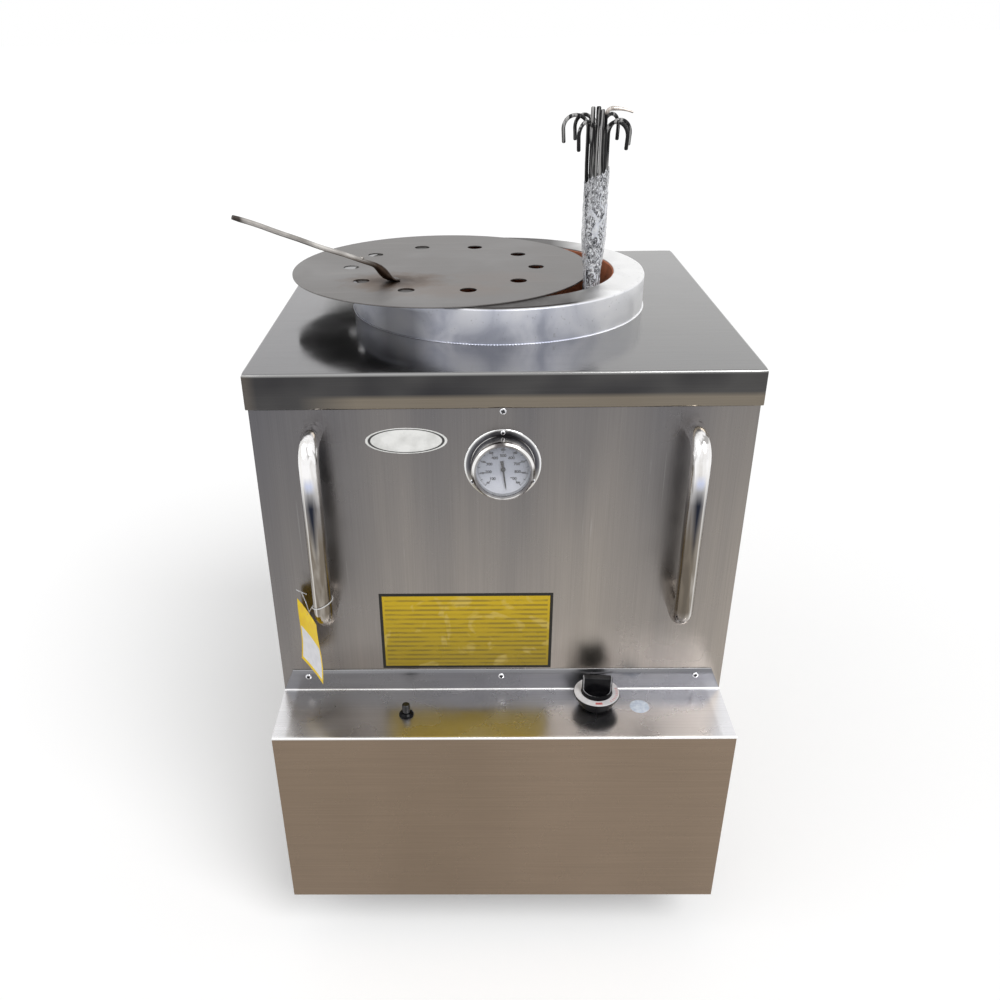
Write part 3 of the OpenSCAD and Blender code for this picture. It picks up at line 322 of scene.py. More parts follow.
dress(plated("zinc_steel"), "castor_plates", *(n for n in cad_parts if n.startswith("castor_fork")))
wheel_rubber = mottled("wheel_rubber", (0.07, 0.07, 0.075), 0.62, (34.0, 5.0),
                       ((0.4, (0.035, 0.035, 0.038)), (0.75, (0.16, 0.155, 0.15))), (0.3, 0.7, 0.5, 0.8))
raise_by(wheel_rubber, speckle(wheel_rubber, 420.0, 3.0), 0.3, 0.0004)
dress(wheel_rubber, *(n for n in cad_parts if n.startswith("castor_wheel")))


# The clay pot and its wool: a thrown and low fired clay jar, rust red, paler at its rim and sooty
# further down, packed round with mineral wool.
pot_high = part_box("clay_pot")[1]
clay = finish("clay", (0.3, 0.13, 0.08), 0.0, 0.9)
clay_cloud = speckle(clay, 16.0, 6.0, warp=0.6)
clay_rings = speckle(clay, (3.0, 3.0, 150.0))
clay_shade = clay_cloud.shades((0.3, (0.34, 0.110, 0.052)), (0.55, (0.55, 0.185, 0.088)),
                               (0.75, (0.68, 0.28, 0.145)))
clay_soot = coordinate(clay, "Z").spread(pot_high.z - 0.05, pot_high.z - 0.35, 0, 0.75)
paint(clay, Base_Color=mixed(clay_soot, clay_shade, (0.035, 0.025, 0.02)))
raise_by(clay, clay_cloud + clay_rings, 0.5, 0.002)
dress(clay, "clay_pot")
dress(mottled("mineral_wool", (0.6, 0.52, 0.33), 1.0, (55.0, 8.0, 0.75, 1.5),
              ((0.3, (0.36, 0.29, 0.15)), (0.7, (0.72, 0.66, 0.48))), bump=(0.9, 0.004)), "insulation")


# The burner and the gas line: a cast ring burner on its stand, a brass injector, black pipe with
# a threaded brass inlet, a die cast valve with a brass plunger, and a copper feed tube.
rough_metal("cast_iron", (0.025, 0.024, 0.024), (0.07, 0.066, 0.062), 0.4, (0.6, 0.85), 40.0, "burner")
rough_metal("brass", (0.42, 0.27, 0.10), (0.66, 0.47, 0.20), 1.0, (0.22, 0.4), 30.0,
            "injector", "gas_inlet", "valve_plunger")
rough_metal("pipe_steel", (0.06, 0.058, 0.056), (0.14, 0.13, 0.125), 0.7, (0.4, 0.65), 30.0,
            "gas_pipe", "pilot_burner")
rough_metal("valve_alloy", (0.34, 0.34, 0.35), (0.50, 0.50, 0.51), 0.9, (0.35, 0.55), 45.0,
            "gas_valve", "valve_stem")
rough_metal("copper_tube", (0.36, 0.15, 0.08), (0.62, 0.29, 0.17), 1.0, (0.2, 0.4), 26.0,
            "feed_tube", "thermocouple_lead")
dress(mottled("lead_sleeve", (0.7, 0.68, 0.62), 0.6, (600.0, 2.0),
              ((0.35, (0.5, 0.48, 0.42)), (0.65, (0.78, 0.76, 0.70))), bump=(0.5, 0.0004)), "igniter_lead")


# The top cover: one stainless sheet, folded down into a skirt on all four sides and in again at
# its foot. It slips over the cabinet, and one screw holds its skirt at the front.
def piece(name, mesh, body, made, sharp=35.0):
    """A finished piece: its mesh is in place, and it rides on its body."""
    mesh.materials.clear()
    mesh.materials.append(made)
    mesh.shade_smooth()
    mesh.set_sharp_from_angle(angle=radians(sharp))
    new = stand(name, mesh)
    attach(new, body)
    return new


def extent(name):
    """A node's lower corner, its upper corner and its middle."""
    low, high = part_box(name)
    return low, high, (low + high) / 2


def skin_over(rings, joined=False, caps=False):
    """A mesh of faces between rings of points that follow each other."""
    count = len(rings[0])
    faces = []
    for r in range(len(rings) if joined else len(rings) - 1):
        here, there = r * count, (r + 1) % len(rings) * count
        for i, j in ((i, (i + 1) % count) for i in range(count)):
            faces.append((here + i, here + j, there + j, there + i))
    if caps:
        faces += [tuple(reversed(range(count))), tuple((len(rings) - 1) * count + i for i in range(count))]
    mesh = bpy.data.meshes.new("skin")
    mesh.from_pydata([tuple(p) for ring in rings for p in ring], [], faces)
    work = bmesh.new()
    work.from_mesh(mesh)
    bmesh.ops.remove_doubles(work, verts=work.verts, dist=1e-6)
    bmesh.ops.recalc_face_normals(work, faces=work.faces)
    work.to_mesh(mesh)
    work.free()
    return mesh


def plain(holder):
    """The plain mesh that an object and its modifiers come to. The object goes."""
    mesh = bpy.data.meshes.new_from_object(holder.evaluated_get(bpy.context.evaluated_depsgraph_get()))
    bpy.data.objects.remove(holder)
    return mesh


def thickened(mesh, thickness):
    """The sheet with its thickness, behind its outer face."""
    holder = stand("sheet", mesh)
    wall = holder.modifiers.new("thickness", "SOLIDIFY")
    wall.thickness, wall.offset = thickness, -1
    return plain(holder)


def away_from(made, centre, reach):
    """How far a point lies from a centre, in units of its reach. An axis of reach 0 isn't counted."""
    scale = tuple(1 / r if r else 0 for r in reach)
    place = placed(made, Location=tuple(-c * s for c, s in zip(centre, scale)), Scale=scale)
    return node(made.node_tree, "VectorMath", {"operation": "LENGTH"}, "Value", Vector=place)


sheet = 0.0015
cover_low, cover_high, cover_mid = extent("top_cover")
cover_half = (cover_high.x - cover_low.x) / 2
cover_bend = 0.0035
skirt_foot = cover_low.z
hole_r = 0.228
per_side = 48
dent_depth, dent_width = 0.0016, 0.013


def cover_outline(half, corner, z, push=0.0):
    """A square with small round corners at one height. The screw pushes its front in."""
    ring = []
    for side in range(4):
        for step in range(per_side):
            t = -1 + 2 * step / per_side
            x, y = t * half, -half
            if abs(t) > 1 - corner / half:
                over = (abs(t) - 1 + corner / half) * half / corner
                x = (half - corner + corner * sin(over * pi / 4)) * (1 if t > 0 else -1)
                y = -half + corner * (1 - cos(over * pi / 4))
            if side == 0:
                y += push * exp(-(x / dent_width) ** 2)
            ring.append(cover_mid + Matrix.Rotation(side * pi / 2, 3, "Z") @ Vector((x, y, 0)))
            ring[-1].z = z
    return ring


mouth_ring = []
for point in cover_outline(cover_half, cover_bend, plate_z):
    out = (point - cover_mid).to_2d().normalized() * hole_r
    mouth_ring.append(Vector((cover_mid.x + out.x, cover_mid.y + out.y, plate_z)))
cover_rings = [mouth_ring, cover_outline(cover_half - cover_bend - 0.0015, cover_bend, plate_z)]
for step in range(7):
    bent = step / 6 * pi / 2
    cover_rings.append(cover_outline(cover_half - cover_bend * (1 - sin(bent)), cover_bend * 1.4,
                                     plate_z - cover_bend * (1 - cos(bent))))
for z in (plate_z - cover_bend - 0.0015, plate_z - 0.012, plate_z - 0.024, plate_z - 0.034, plate_z - 0.040,
          plate_z - 0.046, skirt_foot + 0.0045, skirt_foot + 0.003):
    dent = max(0.0, 1 - (z - skirt_foot) / 0.022) * dent_depth
    cover_rings.append(cover_outline(cover_half, cover_bend * 1.4, z, dent))
for inset, lift in ((0.0008, 0.0008), (0.0028, 0.0), (0.0042, 0.0006)):
    cover_rings.append(cover_outline(cover_half - inset, cover_bend, skirt_foot + lift, dent_depth))


def cover_tone_and_painted_light(made):
    """Light and neutral on top and lighter to the right as a painted reflection, with a painted dark
    reflection of the lid; the skirt is painted dark as shade with a pale painted reflection streak, and the
    fold has a painted highlight.
    """
    across, height = coordinate(made, "X"), coordinate(made, "Z")
    bands = speckle(made, (2.2, 2.2, 5.0), shift=(0.3, 0.8, 0))
    # Painted reflection: the top grows lighter to the right.
    top = (bands * 0.5 + across.spread(cover_low.x, cover_high.x, 0, 0.5)).shades(
        (0.2, (0.225, 0.222, 0.230)), (0.75, (0.252, 0.250, 0.247)))
    # A painted dark reflection of the lid on the plate round the collar.
    lid_painted_reflection = away_from(made, extent("lid_plate")[2], (1, 1, 0)).spread(0.20, 0.17, 0, 0.9)
    top = mixed(lid_painted_reflection, top, (0.018, 0.016, 0.015))
    # The skirt is painted darker than the top as shade, with a pale painted reflection streak and a lighter
    # brown left end.
    skirt = speckle(made, (7.0, 7.0, 9.0)).shades(
        (0.35, (0.038, 0.037, 0.040)), (0.65, (0.078, 0.076, 0.075)))
    streak = (height.spread(plate_z - 0.030, plate_z - 0.037, 0, 0.75)
              * across.spread(middle.x - 0.28, middle.x - 0.20))
    skirt = layers(skirt, (streak, (0.24, 0.205, 0.160)),
                   (across.spread(cover_low.x + 0.02, cover_low.x + 0.006, 0, 0.5), (0.16, 0.14, 0.12)))
    # A painted highlight along the fold.
    fold = (height.spread(plate_z - 0.0001, plate_z - 0.0008)
            * height.spread(plate_z - 0.0045, plate_z - 0.002))
    return layers(top, (height.spread(plate_z - 0.0005, plate_z - 0.003), skirt),
                  (fold * 0.45, (0.62, 0.62, 0.61)))


cover_steel = sheet_steel("cover_steel", cover_tone_and_painted_light, "X", (0.10, 0.19), 0.0, 0.03)
cover_mesh = skin_over(cover_rings)
if cover_mesh.polygons[0].normal.z < 0:
    cover_mesh.flip_normals()
cover = piece("folded_cover", thickened(cover_mesh, sheet), "cabinet", cover_steel, 50)
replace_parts(cover, "top_cover")


# The collar: a cast and turned aluminium ring with a rounded lip, which stands on the cover round
# the pot's mouth. A rippled bead of weld seals its foot.
collar_low, collar_high, collar_mid = extent("collar_ring")
collar_aluminium = finish("collar_aluminium", (0.75, 0.75, 0.74), 0.85, 0.4)
collar_x, collar_z = coordinate(collar_aluminium, "X"), coordinate(collar_aluminium, "Z")
collar_cloud = speckle(collar_aluminium, 14.0, 5.0, warp=0.8)
collar_pit = speckle(collar_aluminium, 210.0, 3.0, shift=(1, 3, 2))
collar_drawn = speckle(collar_aluminium, (9.0, 9.0, 500.0))
# A painted shadow of the lid, in a band near the top of the collar's left wall.
collar_lid_painted_shadow = (abs(collar_x - (collar_mid.x - 0.150)).spread(0.06, 0.02, 0, 0.7)
               * collar_z.spread(collar_high.z - 0.008, collar_high.z - 0.014))
collar_rim = collar_z.spread(collar_high.z - 0.003, collar_high.z - 0.001)
# The rim is painted lighter than the wall as a highlight.
rim_painted_highlight = collar_cloud.shades((0.36, (0.50, 0.49, 0.46)), (0.52, (0.78, 0.77, 0.74)),
                                (0.68, (0.95, 0.95, 0.95)))
# Painted light in the layers: the lid's painted shadow, a painted highlight on the rim and on the right side,
# and a painted shade on the rim under the lid's left side.
collar_shade = layers(
    collar_cloud.shades((0.34, (0.46, 0.48, 0.56)), (0.52, (0.64, 0.655, 0.72)), (0.7, (0.76, 0.765, 0.80))),
    (collar_lid_painted_shadow, (0.14, 0.14, 0.15)),
    (collar_rim * 0.75, rim_painted_highlight),
    (collar_x.spread(collar_mid.x + 0.10, collar_mid.x + 0.21, 0, 0.8), (0.97, 0.97, 0.97)),
    (collar_rim * collar_x.spread(collar_mid.x + 0.165, collar_mid.x + 0.10, 0, 0.97), (0.035, 0.03, 0.028)),
    (collar_pit.spread(0.64, 0.72, 0, 0.35), (0.3, 0.3, 0.31)))
paint(collar_aluminium, Base_Color=collar_shade, Roughness=collar_cloud.spread(0.3, 0.7, 0.3, 0.5))
raise_by(collar_aluminium, collar_cloud + collar_drawn * 0.25, 0.22, 0.0012)
dress(collar_aluminium, "collar_ring")


def geometry_tree(name, **inputs):
    """A geometry tree with named inputs and one output, and what its inputs give."""
    tree = bpy.data.node_groups.new(name, "GeometryNodeTree")
    tree.is_modifier = True
    for socket, form in inputs.items():
        tree.interface.new_socket(socket, in_out="INPUT", socket_type="NodeSocket" + form)
    tree.interface.new_socket("Geometry", in_out="OUTPUT", socket_type="NodeSocketGeometry")
    given = tree.nodes.new("NodeGroupInput")
    return tree, {socket: Value(given.outputs[socket]) for socket in inputs}


def lay(tree, points, shape, rotation, material):
    """Ends a tree: a copy of the shape on each point, made real and given its material."""
    laid = node(tree, "GeometryNodeInstanceOnPoints", Points=points, Instance=shape, Rotation=rotation)
    real = node(tree, "GeometryNodeRealizeInstances", Geometry=laid)
    painted = node(tree, "GeometryNodeSetMaterial", Geometry=real, Material=material)
    put(painted, tree.nodes.new("NodeGroupOutput").inputs[0])
    return tree


def ring_tree(name, kind, **shape):
    """Geometry nodes that set small marks round an arc, each turned to point outwards."""
    tree, given = geometry_tree(name, Count="Int", Radius="Float", Start="Float", Step="Float",
                                Length="Float", Width="Float", Height="Float", Material="Material")
    angle = maths("MULTIPLY_ADD", node(tree, "GeometryNodeInputIndex"), given["Step"], given["Start"])
    spot = node(tree, "VectorRotate", {"rotation_type": "Z_AXIS"}, Angle=angle,
                Vector=node(tree, "CombineXYZ", X=given["Radius"]))
    size = node(tree, "CombineXYZ", X=given["Length"], Y=given["Width"], Z=given["Height"])
    return lay(tree, node(tree, "GeometryNodePoints", Count=given["Count"], Position=spot),
               node(tree, "GeometryNodeTransform", Geometry=node(tree, kind, **shape), Scale=size),
               node(tree, "CombineXYZ", Z=angle), given["Material"])


def grown(tree, start=None, **given):
    """The plain mesh that a geometry tree makes from its named inputs."""
    maker = stand("maker", start or bpy.data.meshes.new("start"))
    rule = maker.modifiers.new("rule", "NODES")
    rule.node_group = tree
    for item in tree.interface.items_tree:
        if item.in_out == "INPUT" and item.name in given:
            rule[item.identifier] = given[item.name]
    return plain(maker)


bead_count = 330
bead_ring_r = (collar_high.x - collar_low.x) / 2 + 0.0004
bead_mesh = grown(ring_tree("weld_bead", "GeometryNodeMeshUVSphere", Segments=10, Rings=6, Radius=0.5),
                  Count=bead_count, Radius=bead_ring_r, Step=2 * pi / bead_count,
                  Length=0.0034, Width=0.0062, Height=0.0020, Material=collar_aluminium)
bead_mesh.transform(Matrix.Translation((collar_mid.x, collar_mid.y, collar_low.z + 0.0003)))
piece("collar_weld", bead_mesh, "cabinet", collar_aluminium)


# The thermometer: a polished pressed flange with three screws, a rolled bezel, a white dial under
# glass with two plain rings of numbers, and a black needle. Its case reaches through the panel.
dress(plated("gauge_steel", (0.50, 0.50, 0.50), (0.10, 0.22)), "gauge_case")
bezel_low, _, bezel_mid = extent("gauge_bezel")
bezel_r = 0.045
flange_r = bezel_mid.x - bezel_low.x
gauge_chrome = finish("gauge_chrome", (0.6, 0.6, 0.6), 1.0, 0.1)
chrome_out = away_from(gauge_chrome, bezel_mid, (1, 0, 1))
chrome_up = coordinate(gauge_chrome, "Z") - bezel_mid.z
chrome_turn = maths("ARCTAN2", chrome_up, coordinate(gauge_chrome, "X") - bezel_mid.x)
chrome_cloud = speckle(gauge_chrome, (40.0, 40.0, 26.0), 3.0)
# The flange's colour is painted reflection: dark next to the bezel, a bright painted highlight near its outer
# edge, and a brown painted reflection over its lower part.
flange_painted_reflection = mixed(
    chrome_up.spread(-0.004, -0.034, 0, 0.85),
    chrome_out.spread(bezel_r, flange_r).shades(
        (0.0, (0.028, 0.028, 0.034)), (0.40, (0.09, 0.09, 0.10)), (0.68, (0.20, 0.20, 0.21)),
        (0.80, (0.80, 0.80, 0.80)), (0.93, (0.88, 0.88, 0.88))),
    chrome_cloud.shades((0.35, (0.24, 0.215, 0.165)), (0.65, (0.60, 0.57, 0.52))))
# The bezel's colour is painted reflection: dark and bright arcs round it.
bezel_painted_reflection = (maths("SINE", chrome_turn * 3.0) * 0.22 + chrome_cloud).shades(
    (0.3, (0.13, 0.12, 0.12)), (0.46, (0.50, 0.485, 0.47)), (0.58, (0.88, 0.87, 0.86)))
# A darker painted shade on the bezel's inner lip.
paint(gauge_chrome, Roughness=chrome_cloud.spread(0.3, 0.7, 0.08, 0.2), Base_Color=layers(
    bezel_painted_reflection, (chrome_out.spread(bezel_r - 0.0048, bezel_r - 0.0040, 0.8, 0), (0.16, 0.155, 0.16)),
    (chrome_out.spread(bezel_r, bezel_r + 0.0006), flange_painted_reflection)))
dress(gauge_chrome, "gauge_bezel")
gauge_glass = mottled("gauge_glass", (1, 1, 1), 0.03, (90.0, 4.0), polish=(0.4, 0.8, 0.02, 0.14),
                      IOR=1.45, Alpha=0.05)
dress(gauge_glass, "gauge_lens")
needle_black = mottled("needle_black", (0.012, 0.012, 0.014), 0.35, (300.0,), polish=(0.3, 0.7, 0.28, 0.5))
dress(needle_black, "gauge_pointer")
dial_low, dial_high, dial_mid = extent("gauge_dial")
dial_white = finish("dial_white", (0.62, 0.63, 0.66), 0.0, 0.5)
# Painted shade: the dial is darker and bluer at the top, under the bezel, and paler lower down.
dial_painted_shade = coordinate(dial_white, "Z").spread(dial_high.z, dial_low.z).shades(
    (0.1, (0.27, 0.29, 0.36)), (0.55, (0.38, 0.40, 0.47)), (0.9, (0.72, 0.74, 0.82)))
paint(dial_white, Base_Color=mixed(speckle(dial_white, 40.0, 3.0) * 0.2, dial_painted_shade, (0.6, 0.6, 0.62)))
dress(dial_white, "gauge_dial")

dial_face = Vector((dial_mid.x, dial_low.y, dial_mid.z))
dial_print = mottled("dial_print", (0.02, 0.02, 0.03), 0.55, (500.0,),
                     ((0.4, (0.015, 0.015, 0.02)), (0.7, (0.05, 0.05, 0.06))))
tick_tree = ring_tree("dial_ticks", "GeometryNodeMeshCube")
sweep = 1.5 * pi
dial_meshes = []
for count, radius, length, width in ((81, 0.0350, 0.0020, 0.00042), (17, 0.0342, 0.0038, 0.0009),
                                     (9, 0.0262, 0.0024, 0.0008)):
    dial_meshes.append(grown(tick_tree, Count=count, Radius=radius, Start=-pi / 4, Step=sweep / (count - 1),
                             Length=length, Width=width, Height=0.0001, Material=dial_print))
for count, radius, size, unit in ((9, 0.0208, 0.0060, 100), (9, 0.0298, 0.0040, 50)):
    for step in range(count):
        words = bpy.data.curves.new("number", "FONT")
        words.body = str((step + 1) * unit)
        words.size, words.offset = size, 0.00022
        words.align_x, words.align_y = "CENTER", "CENTER"
        angle = 1.25 * pi - step * sweep / (count - 1)
        number = plain(stand("number", words))
        number.transform(Matrix.Translation((radius * cos(angle), radius * sin(angle), 0.00005)))
        dial_meshes.append(number)


def together(meshes):
    """Several meshes as one."""
    work = bmesh.new()
    for mesh in meshes:
        work.from_mesh(mesh)
    mesh = bpy.data.meshes.new("together")
    work.to_mesh(mesh)
    work.free()
    return mesh


dial_marks = together(dial_meshes)
print_at = dial_face - Vector((0, 0.00012, 0))
dial_marks.transform(Matrix.Translation(print_at) @ Matrix.Rotation(pi / 2, 4, "X"))
piece("dial_marks", dial_marks, "cabinet", dial_print)


# The screws: zinc plated pan heads with a cross recess, in the box's flange, the skirt, the back
# and the gauge's flange.
def circle(r, z, count, centre=Vector()):
    """Points round a flat circle."""
    return [centre + Vector((r * cos(a), r * sin(a), z)) for a in (2 * pi * i / count for i in range(count))]


def solid(shape, **settings):
    """The mesh of one of bmesh's own shapes."""
    work = bmesh.new()
    shape(work, **settings)
    mesh = bpy.data.meshes.new("solid")
    work.to_mesh(mesh)
    work.free()
    return mesh


def cross_head(r, h):
    """A domed head that stands on Z = 0, with a cross cut into it."""
    dome = ((r, 0), (r, h * 0.35), (r * 0.93, h * 0.68), (r * 0.72, h * 0.9), (r * 0.36, h))
    head = stand("head", skin_over([circle(w, z, 24) for w, z in dome], caps=True))
    cutters = []
    for turn in (0, pi / 2):
        arm = (Matrix.Translation((0, 0, h)) @ Matrix.Rotation(turn, 4, "Z")
               @ Matrix.Diagonal((r * 1.15, r * 0.26, h * 0.9, 1)))
        cutter = stand("cutter", solid(bmesh.ops.create_cube, size=1.0, matrix=arm))
        cut = head.modifiers.new("cut", "BOOLEAN")
        cut.operation, cut.object = "DIFFERENCE", cutter
        cutters.append(cutter)
    mesh = plain(head)
    for cutter in cutters:
        bpy.data.objects.remove(cutter)
    # The middle of the head is marked for a painted shade in its cross recess.
    hollow = mesh.attributes.new("hollow", "FLOAT", "POINT")
    for vertex, mark in zip(mesh.vertices, hollow.data):
        mark.value = 1.0 if vertex.co.to_2d().length < r * 0.6 else 0.0
    return mesh


def scatter_tree():
    """Geometry nodes that stand one head on each point, along the point's own direction."""
    tree, given = geometry_tree("screw_places", Places="Geometry", Head="Object", Material="Material")
    named = "GeometryNodeInputNamedAttribute"
    aim = node(tree, "FunctionNodeAlignRotationToVector", {"axis": "Z"},
               Vector=node(tree, named, {"data_type": "FLOAT_VECTOR"}, Name="outwards"))
    driven = node(tree, "CombineXYZ", Z=node(tree, named, {"data_type": "FLOAT"}, Name="driven"))
    spin = node(tree, "FunctionNodeRotateRotation", {"rotation_space": "LOCAL"}, Rotation=aim,
                Rotate_By=driven)
    head = node(tree, "GeometryNodeObjectInfo", out="Geometry", Object=given["Head"])
    return lay(tree, given["Places"], head, spin, given["Material"])


def screws(name, places, head_mesh, made):
    """One piece of like screws: places are pairs of a foot and a direction."""
    points = bpy.data.meshes.new("places")
    points.from_pydata([tuple(p) for p, _ in places], [], [])
    points.attributes.new("outwards", "FLOAT_VECTOR", "POINT")
    points.attributes.new("driven", "FLOAT", "POINT")
    for i, (_, way) in enumerate(places):
        points.attributes["outwards"].data[i].vector = way
        points.attributes["driven"].data[i].value = 0.4 + 1.3 * i
    head = stand("head", head_mesh)
    mesh = grown(scatter_tree(), points, Head=head, Material=made)
    bpy.data.objects.remove(head)
    return piece(name, mesh, "cabinet", made, 40)


screw_steel = plated("screw_steel", (0.80, 0.81, 0.84), (0.16, 0.30))
# A painted shade in the middle of each head, round its cross recess.
screw_recess_painted_shade = node(screw_steel.node_tree, "Attribute", {"attribute_name": "hollow"}, "Fac").spread(0.3, 0.8)
screw_shade = speckle(screw_steel, 90.0, 4.0).shades((0.3, (0.58, 0.59, 0.62)), (0.6, (0.90, 0.90, 0.92)))
paint(screw_steel, Base_Color=mixed(screw_recess_painted_shade, screw_shade, (0.06, 0.06, 0.065)))
flange_y = panel_low.y - sheet
flange_screw_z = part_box("control_cover")[1].z - 0.013
screw_places = [(Vector((middle.x + x, flange_y, flange_screw_z)), (0, -1, 0)) for x in (-0.31, 0, 0.31)]
screw_places.append((Vector((middle.x, panel_low.y, skirt_foot - 0.005)), (0, -1, 0)))
head_r = 0.0045
set_low, set_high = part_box("panel_screws")
lowest, highest = set_low.z + head_r, set_high.z - head_r
for x in (set_low.x + head_r, set_high.x - head_r):
    for share in (0, 0.5, 1):
        screw_places.append((Vector((x, back_y, lowest + share * (highest - lowest))), (0, 1, 0)))
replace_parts(screws("panel_screw_heads", screw_places, cross_head(0.0050, 0.0024), screw_steel),
            "panel_screws")
gauge_ring_r = 0.04975
gauge_screw_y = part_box("gauge_screws")[0].y + 0.002
gauge_spots = []
for a in (radians(90), radians(210), radians(330)):
    x, z = dial_face.x + gauge_ring_r * cos(a), dial_face.z + gauge_ring_r * sin(a)
    gauge_spots.append((Vector((x, gauge_screw_y, z)), (0, -1, 0)))
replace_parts(screws("gauge_screw_heads", gauge_spots, cross_head(0.0034, 0.002), screw_steel),
            "gauge_screws")


# The two handles: bright stainless tube, bent at both ends and bolted through the front panel.
# Their colour is a painted reflection of a bright room above, a brown floor below and a dark wedge between.
handle_low, handle_high, handle_mid = extent("handle_left")
handle_r = 0.014
handle_steel = finish("handle_steel", (0.56, 0.54, 0.52), 1.0, 0.14)
handle_marks = speckle(handle_steel, (60.0, 60.0, 900.0))
handle_cloud = speckle(handle_steel, (70.0, 70.0, 9.0), 3.0, warp=0.4)
handle_height = coordinate(handle_steel, "Z")
handle_off = abs(coordinate(handle_steel, "X") - middle.x) - (middle.x - handle_low.x - handle_r)
handle_across = handle_off + (handle_cloud - 0.5) * 0.004
# Painted reflection on the tubes: a dark wedge, a bluish spot and a bright streak.
handle_wedge = handle_height.spread(handle_high.z - 0.075, handle_high.z - 0.19, 0.0075, 0.0)
handle_painted_wedge = ((handle_wedge - abs(handle_across)).spread(-0.0030, 0.0040)
               * (handle_height.spread(handle_high.z - 0.064, handle_high.z - 0.100)
                  * handle_height.spread(handle_high.z - 0.20, handle_high.z - 0.16)))
handle_painted_spot = (abs(handle_height - (handle_high.z - 0.066)).spread(0.013, 0.001, 0, 0.6)
               * abs(handle_across).spread(0.0075, 0.003))
handle_painted_streak = abs(handle_across - 0.0085).spread(0.0016, 0.0004, 0, 0.6)
# The tube's colour is painted reflection: pale at the foot, brown low down, bright at the top, with light and
# dark blotches and the marks above.
handle_painted_reflection = layers(
    handle_height.spread(handle_low.z, handle_high.z).shades(
        (0.05, (0.60, 0.56, 0.52)), (0.13, (0.17, 0.145, 0.115)), (0.50, (0.18, 0.155, 0.125)),
        (0.68, (0.27, 0.26, 0.26)), (0.84, (0.93, 0.92, 0.92))),
    (handle_cloud.spread(0.52, 0.66, 0, 0.5), (0.50, 0.47, 0.43)),
    (handle_cloud.spread(0.44, 0.34, 0, 0.6), (0.10, 0.085, 0.07)),
    (handle_painted_wedge, (0.020, 0.023, 0.035)),
    (handle_painted_spot, (0.50, 0.57, 0.82)),
    (handle_painted_streak, (0.85, 0.83, 0.80)))
paint(handle_steel, Base_Color=handle_painted_reflection, Roughness=handle_cloud.spread(0.3, 0.7, 0.10, 0.22))
raise_by(handle_steel, handle_marks, 0.05, 0.0003)
dress(handle_steel, "handle_left", "handle_right")
dress(screw_steel, "handle_bolts")


# The control box: one stainless sheet bent over the front and the top, with a flange that is
# screwed to the panel, and a welded plate at each end. Grinding has left bright bands beside them.
box_low, box_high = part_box("control_cover")
box_top = 0.446
box_half = (box_high.x - box_low.x) / 2
box_bend, near_bend = 0.003, 0.0015
inner_bend = 0.002
flange_cut = 0.017
box_columns = 60


def box_section():
    """The bent sheet's outer line in Y and Z, from its front foot up and back to the flange's top."""
    line = [(box_low.y, box_low.z + up) for up in (0, 0.002, 0.12, 0.24)]
    line += [(box_low.y, box_top - box_bend - near_bend), (box_low.y, box_top - box_bend)]
    for bent in (step / 6 * pi / 2 for step in range(1, 7)):
        line.append((box_low.y + box_bend * (1 - cos(bent)), box_top - box_bend * (1 - sin(bent))))
    line.append((box_low.y + box_bend + near_bend, box_top))
    line += [(box_low.y + share * (flange_y - box_low.y), box_top) for share in (0.2, 0.4, 0.6, 0.8)]
    line.append((flange_y - inner_bend - near_bend, box_top))
    for bent in (step / 5 * pi / 2 for step in range(6)):
        line.append((flange_y - inner_bend * (1 - sin(bent)), box_top + inner_bend * (1 - cos(bent))))
    line += [(flange_y, box_top + up) for up in (inner_bend + near_bend, 0.014, 0.028)]
    return line + [(flange_y, box_high.z - 0.0006), (flange_y + 0.0006, box_high.z)]


def grid(name, rows):
    """A mesh of faces between rows of points."""
    mesh = bpy.data.meshes.new(name)
    width = len(rows[0])
    mesh.from_pydata([tuple(p) for row in rows for p in row], [],
                     [(r * width + i, r * width + i + 1, (r + 1) * width + i + 1, (r + 1) * width + i)
                      for r in range(len(rows) - 1) for i in range(width - 1)])
    return mesh


box_rows = []
for y, z in box_section():
    half = box_half - max(0.0, (z - box_top) / (box_high.z - box_top)) * flange_cut
    box_rows.append([Vector((middle.x + (2 * i / box_columns - 1) * half, y, z))
                     for i in range(box_columns + 1)])
box_mesh = grid("box", box_rows)


